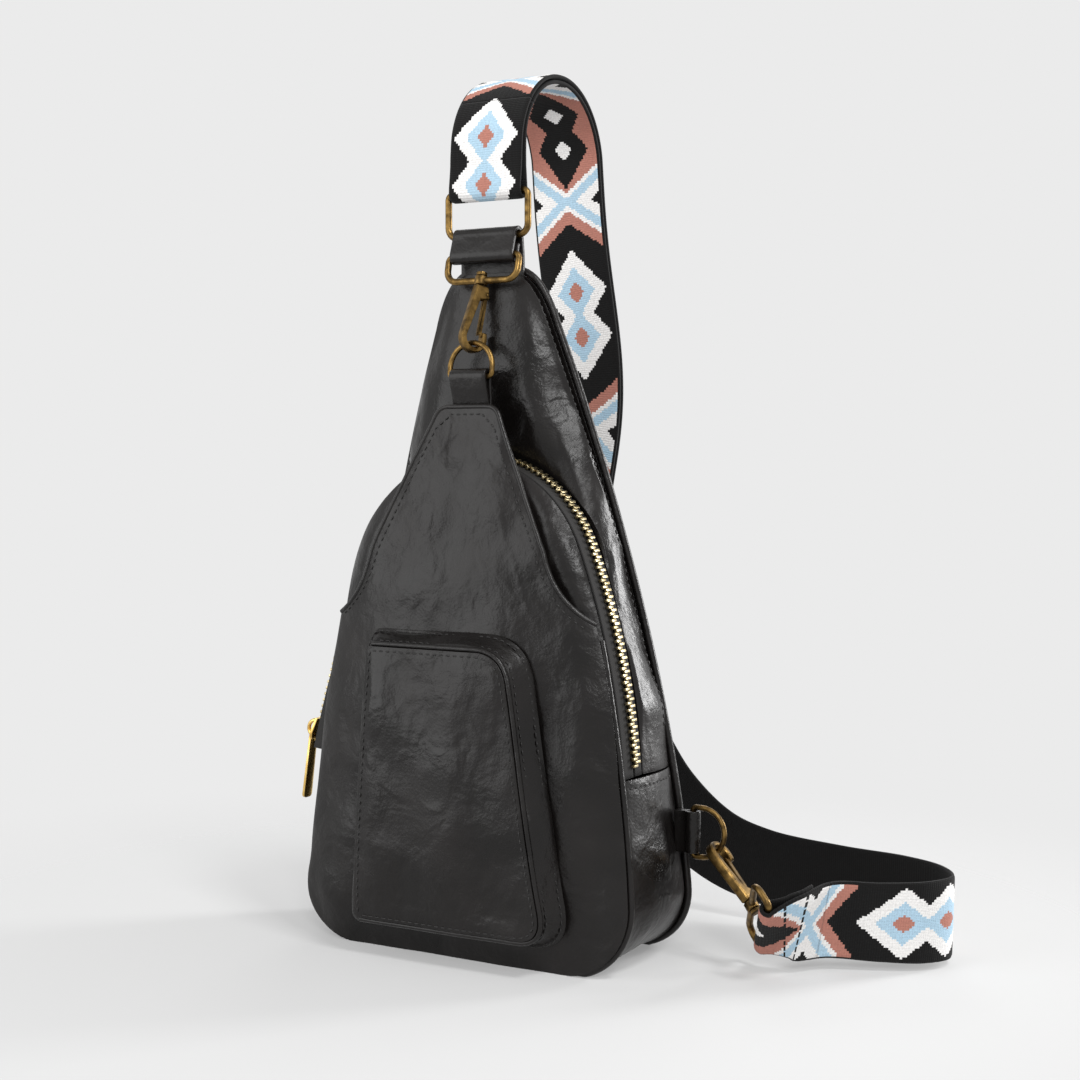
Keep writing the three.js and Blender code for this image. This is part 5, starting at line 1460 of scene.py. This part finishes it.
# %% Woven band
def woven_band(name, layers, sewn=()):
    """One strap piece in one or two layers, with rows of stitches at the lengths in `sewn`.

    A layer has a path, its widths, the pattern's place at its start, the side that is patterned (1 for the
    side of the normal, -1 for the other) and how far the pattern is stretched.
    """
    points, faces, shades, uvs = [], [], [], []
    columns = int(STRAP_WIDTH)
    for path, widths, start, front_sign, pattern_scale in layers:
        path, widths = np.array(path, float), np.array(widths, float)
        along = np.gradient(path, axis=0)
        along /= np.linalg.norm(along, axis=1)[:, None]
        widths = widths - along * (widths * along).sum(1)[:, None]
        widths /= np.linalg.norm(widths, axis=1)[:, None]
        normals = np.cross(along, widths)
        run = start + pattern_scale * run_along(path)
        base = len(points)
        ring = 2 * (columns + 1)
        for p, w, n in zip(path, widths, normals):
            for side in (1, -1):
                for k in range(columns + 1):
                    x = (k / columns - 0.5) * STRAP_WIDTH * side
                    edge = 1 - 0.45 * max(0, abs(x) - STRAP_WIDTH / 2 + SELVEDGE) / SELVEDGE
                    points.append(p + w * x + n * side * edge * STRAP_THICK / 2)
        for i in range(len(path) - 1):
            for k in range(ring):
                a, b = base + i * ring + k, base + i * ring + (k + 1) % ring
                faces.append((a, b, b + ring, a + ring))
                top = k < columns
                inside = k if top else ring - 2 - k
                x = ((inside + 0.5) / columns - 0.5) * STRAP_WIDTH
                underneath = columns < k < ring - 1
                patterned = top if front_sign > 0 else underneath
                here = (run[i] + run[i + 1]) / 2
                stitched = any(abs(here - row) < 0.5 for row in sewn) and k % 4
                shades.append(woven_colour(x, here) if patterned and not stitched else BLACK)
                low, high = inside / columns * STRAP_WIDTH, (inside + 1) / columns * STRAP_WIDTH
                uvs.append([(low, run[i]), (high, run[i]), (high, run[i + 1]), (low, run[i + 1])])
        for row, flip in ((0, False), (len(path) - 1, True)):
            for k in range(columns):
                b0 = base + row * ring
                quad = (b0 + k, b0 + k + 1, b0 + ring - 2 - k, b0 + ring - 1 - k)
                faces.append(quad if flip else quad[::-1])
                shades.append(BLACK)
                uvs.append([(k, 0), (k + 1, 0), (k + 1, 1), (k, 1)])
    mesh = bpy.data.meshes.new(name)
    mesh.from_pydata([Vector(p) * MM for p in points], [], faces)
    tint = mesh.color_attributes.new("yarn", "FLOAT_COLOR", "CORNER")
    layer_uv = mesh.uv_layers.new(name="band")
    for face, shade, corners in zip(mesh.polygons, shades, uvs):
        for loop_index, uv in zip(face.loop_indices, corners):
            tint.data[loop_index].color = shade
            layer_uv.data[loop_index].uv = (uv[0] * MM, uv[1] * MM)
    mesh.polygons.foreach_set("use_smooth", [True] * len(mesh.polygons))
    band_piece = bpy.data.objects.new(name, mesh)
    bpy.context.scene.collection.objects.link(band_piece)
    only(band_piece)
    bpy.ops.object.mode_set(mode="EDIT")
    bpy.ops.mesh.select_all(action="SELECT")
    bpy.ops.mesh.normals_make_consistent(inside=False)
    bpy.ops.object.mode_set(mode="OBJECT")
    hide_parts("strap")
    return band_piece


# %% [markdown]
# ## Jacquard webbing
# The webbing is woven of dull spun polyester, with long floats of the yarn that shows. It gives the eye
# flat, chalky colours with a fine rib along the band and next to no gloss. The colour comes from the
# cells' own attribute, and the ribs follow the band's UV map, which is in metres.


# %% Jacquard webbing
def jacquard_webbing():
    material, tree, shader, _ = new_material("jacquard webbing")
    yarn = add_node(tree, "ShaderNodeVertexColor", layer_name="yarn")
    uv = add_node(tree, "ShaderNodeUVMap", uv_map="band")
    # Yarn floats about 1 mm wide lie along the band, and picks of 1.6 mm cross them
    floats = add_node(
        tree,
        "ShaderNodeTexWave",
        {"Vector": uv.outputs[0], "Scale": 0.5 / 0.001, "Distortion": 0.0},
        bands_direction="X",
    )
    picks = add_node(
        tree,
        "ShaderNodeTexWave",
        {"Vector": uv.outputs[0], "Scale": 0.5 / 0.0016, "Distortion": 0.5, "Detail": 1.0},
        bands_direction="Y",
    )
    both = add_node(
        tree, "ShaderNodeMath", {0: floats.outputs["Fac"], 1: picks.outputs["Fac"]}, operation="MULTIPLY"
    )
    fuzz = add_node(
        tree, "ShaderNodeTexNoise", {"Vector": uv.outputs[0], "Scale": 1 / 0.0009, "Detail": 2.0}
    )
    worn = add_node(
        tree,
        "ShaderNodeMapRange",
        {"Value": fuzz.outputs["Fac"], "From Min": 0.3, "From Max": 0.7, "To Min": 0.86, "To Max": 1.06},
    )
    shaded = add_node(
        tree,
        "ShaderNodeVectorMath",
        {0: yarn.outputs["Color"], "Scale": worn.outputs["Result"]},
        operation="SCALE",
    )
    bump = add_node(
        tree, "ShaderNodeBump", {"Strength": 0.5, "Distance": 0.0004, "Height": both.outputs[0]}
    )
    tree.links.new(shaded.outputs[0], shader.inputs["Base Color"])
    tree.links.new(bump.outputs[0], shader.inputs["Normal"])
    shader.inputs["Roughness"].default_value = 0.9
    shader.inputs["Specular IOR Level"].default_value = 0.25
    shader.inputs["Sheen Weight"].default_value = 0.05
    return material


webbing = jacquard_webbing()
print("made", webbing.name)

# %% [markdown]
# ## The strap's pieces
# The band is cut where its fittings move: round its ring, over the crest, in the adjuster, round the side
# and at the clasp. The pattern runs on from piece to piece. Three places where the pattern can be seen
# set how it lies: on the outer layer, on the inner layer and at the clasp.


# %% Strap round its ring and over the crest
def level(path):
    """The widths of a layer that lies level, straight across the bag."""
    return np.tile(X_AXIS, (len(path), 1))


def length_of(path):
    return float(run_along(path)[-1])


def nearest_row(path, point):
    return int(np.argmin(np.linalg.norm(path[:, :3] - np.array(point), axis=1)))


OUTER_PHASE, INNER_PHASE, CLASP_PHASE = 42.5, 38.0, 128.0
cut = int(np.argmax(outer_path[:, 2]) * 0.55)
rear_cut = len(outer_path) - 14
outer_front, inner_front = outer_path[1 : cut + 1], inner_path[3 : cut + 1]
outer_rear, inner_rear = outer_path[cut : rear_cut + 1], inner_path[cut : rear_cut + 1]
folded = np.vstack([wrap[:-1], outer_front])
strap_front = woven_band(
    "strap_at_its_ring",
    [
        (folded, level(folded), OUTER_PHASE - length_of(wrap), -1, 1.0),
        (inner_front, level(inner_front), INNER_PHASE, 1, 1.0),
    ],
)
above_fold = (0, REAR_Y - fold_r - 0.9, ADJUSTER_Z + 6)
inner_tail = smooth_path([*inner_path[rear_cut:-9:3], above_fold, *fold[::-1]])
outer_tail = smooth_path([*outer_path[rear_cut::3], *threaded])
start_row = nearest_row(run_full, threaded[-1])
tail_row = nearest_row(run_full, tail_fold[0]) - 14
to_clasp = length_of(run_full[start_row : clasp_row + 1, :3])
outer_from = OUTER_PHASE + length_of(outer_front)
inner_from = INNER_PHASE + length_of(inner_front)
# The repeats down the rear are drawn a little longer or shorter, so that the pattern is right at the clasp
rear_length = length_of(outer_rear)
rest = CLASP_PHASE - outer_from - length_of(outer_tail) - to_clasp
stretch = (rest + PERIOD * round((rear_length - rest) / PERIOD)) / rear_length
strap_crest = woven_band(
    "strap_over_the_crest",
    [
        (outer_rear, level(outer_rear), outer_from, -1, stretch),
        (inner_rear, level(inner_rear), inner_from, 1, 1.0),
    ],
)
print("strap front and crest:", len(strap_front.data.polygons), len(strap_crest.data.polygons))

# %% Strap through the adjuster and round to the clasp
SEWN_ROWS = (10, 17)
adjuster_from = outer_from + stretch * rear_length
strap_adjust = woven_band(
    "strap_in_the_adjuster",
    [
        (outer_tail, level(outer_tail), adjuster_from, -1, 1.0),
        (inner_tail, level(inner_tail), inner_from + length_of(inner_rear), 1, 1.0),
    ],
)
run_from = adjuster_from + length_of(outer_tail)
side_run, clasp_run = run_full[start_row : tail_row + 1], run_full[tail_row:]
run_length = length_of(side_run[:, :3])
strap_run = woven_band("strap_round_the_side", [(side_run[:, :3], side_run[:, 3:], run_from, -1, 1.0)])
strap_tail = woven_band(
    "strap_end_at_the_clasp",
    [(clasp_run[:, :3], clasp_run[:, 3:], run_from + run_length, -1, 1.0)],
    sewn=[run_from + to_clasp - back_by for back_by in SEWN_ROWS],
)
print("run length", round(run_length), "mm, pattern stretched", round(stretch, 2))

# %% [markdown]
# ## The strap's lengths
# Each piece is listed with its flat length, how it is held and the wires it rests on, because a real band
# can bend but not grow. The piece in the adjuster hangs on the adjuster's body; the others keep their place.

# %% List, attach and cover the strap
sheets = [
    (strap_front, 2 * length_of(outer_front) + length_of(wrap), "stretched", ["strap_ring_wire"]),
    (strap_crest, 2 * rear_length, "stretched", ["strap_ring_wire"]),
    (strap_adjust, length_of(outer_tail) + length_of(inner_tail), "stretched", ["strap_adjuster_wire"]),
    (strap_run, run_length, "hung", ["strap_adjuster_wire", "strap_end_ring_wire"]),
    (strap_tail, length_of(clasp_run[:, :3]), "folded", ["strap_end_ring_wire"]),
]
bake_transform(strap_front)
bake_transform(strap_crest)
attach(strap_adjust, "adjuster")
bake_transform(strap_run)
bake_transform(strap_tail)
for band_piece, length, held, rests in sheets:
    cover(band_piece, webbing)
print("strap length:", round(sum(s[1] for s in sheets)), "mm")

# %% [markdown]
# ## Floor, light and camera
# The photo is a plain studio cut-out: a pale grey ground and broad soft light from the front left and
# above. The background's grey is only seen by the camera and by reflections; the lamps and a dimmer even
# sky light the bag. The camera stands in front, 31 degrees to the right, a little above the middle of the
# bag.


# %% Floor
GROUND = colour("#EBEBEB")
bpy.ops.object.select_all(action="DESELECT")
bpy.ops.mesh.primitive_plane_add(size=6)
floor = bpy.context.view_layer.objects.active
floor.name = "floor"
floor_material, tree, shader, place = new_material("pale studio floor")
shader.inputs["Base Color"].default_value = colour("#DCDCDC")
shader.inputs["Roughness"].default_value = 1.0
shader.inputs["Specular IOR Level"].default_value = 0.0
reach = add_node(tree, "ShaderNodeVectorMath", {0: place}, operation="LENGTH")
fade = add_node(
    tree,
    "ShaderNodeMapRange",
    {"Value": reach.outputs["Value"], "From Min": 0.12, "From Max": 0.42, "To Min": 0.7, "To Max": 0.0},
    interpolation_type="SMOOTHSTEP",
)
tree.links.new(fade.outputs["Result"], shader.inputs["Alpha"])
floor.data.materials.append(floor_material)
floor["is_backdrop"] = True
print("floor fades out towards the background")

# %% World
world = bpy.data.worlds.new("studio")
bpy.context.scene.world = world
world.use_nodes = True
tree = world.node_tree
sky_light = tree.nodes["Background"]
sky_light.inputs["Color"].default_value = (1, 1, 1, 1)
sky_light.inputs["Strength"].default_value = 0.44
ray = add_node(tree, "ShaderNodeLightPath")
ground = add_node(tree, "ShaderNodeBackground", {"Color": GROUND, "Strength": 1.0})
seen = add_node(
    tree,
    "ShaderNodeMath",
    {0: ray.outputs["Is Camera Ray"], 1: ray.outputs["Is Glossy Ray"]},
    operation="MAXIMUM",
)
mix = add_node(
    tree, "ShaderNodeMixShader", {0: seen.outputs[0], 1: sky_light.outputs[0], 2: ground.outputs[0]}
)
tree.links.new(mix.outputs[0], tree.nodes["World Output"].inputs["Surface"])
print("world:", world.name)


# %% Lamps
def soft_lamp(name, place, aim, size, power):
    """A rectangular soft box, in metres and watts, turned towards a point."""
    data = bpy.data.lights.new(name, "AREA")
    data.shape = "RECTANGLE"
    data.size, data.size_y = size
    data.energy = power
    lamp = bpy.data.objects.new(name, data)
    lamp.location = place
    lamp.rotation_euler = (Vector(aim) - Vector(place)).to_track_quat("-Z", "Y").to_euler()
    bpy.context.scene.collection.objects.link(lamp)
    print(name, power, "W")


soft_lamp("key light, front left", (-0.8, -1.1, 0.5), (0, 0, 0.15), (0.9, 1.2), 8)
soft_lamp("strip light, back right", (0.8, 0.85, 0.4), (0.05, 0, 0.12), (0.25, 0.6), 11)
soft_lamp("top light, right", (0.75, -0.35, 1.15), (0, 0, 0.22), (0.25, 0.25), 7)
soft_lamp("fill light, front right", (0.8, -1.1, 0.8), (0, 0, 0.18), (0.3, 0.3), 7)
soft_lamp("back light", (-0.5, 1.2, 0.9), (0, 0, 0.2), (0.6, 0.6), 3)

# %% Camera
camera_data = bpy.data.cameras.new("camera")
camera_data.lens = 60.43
camera_data.sensor_width = 36
camera = bpy.data.objects.new("camera", camera_data)
camera.location = (0.4153, -0.6832, 0.2186)
yaw, pitch = math.radians(29.81), math.radians(-2.815)
look = Vector((-math.sin(yaw) * math.cos(pitch), math.cos(yaw) * math.cos(pitch), math.sin(pitch)))
camera.rotation_euler = look.to_track_quat("-Z", "Y").to_euler()
bpy.context.scene.collection.objects.link(camera)
bpy.context.scene.camera = camera
bpy.context.scene.view_settings.view_transform = "Standard"
print("camera at", tuple(round(v, 2) for v in camera.location))

# %% [markdown]
# ## Sizes
# The dressed bag has to keep to the CAD model's box, apart from the puff of the leather. The box round
# the dressed pieces is printed, in metres.

# %% Sizes
low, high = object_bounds()
print("visual box:", [round(v, 3) for v in high - low])
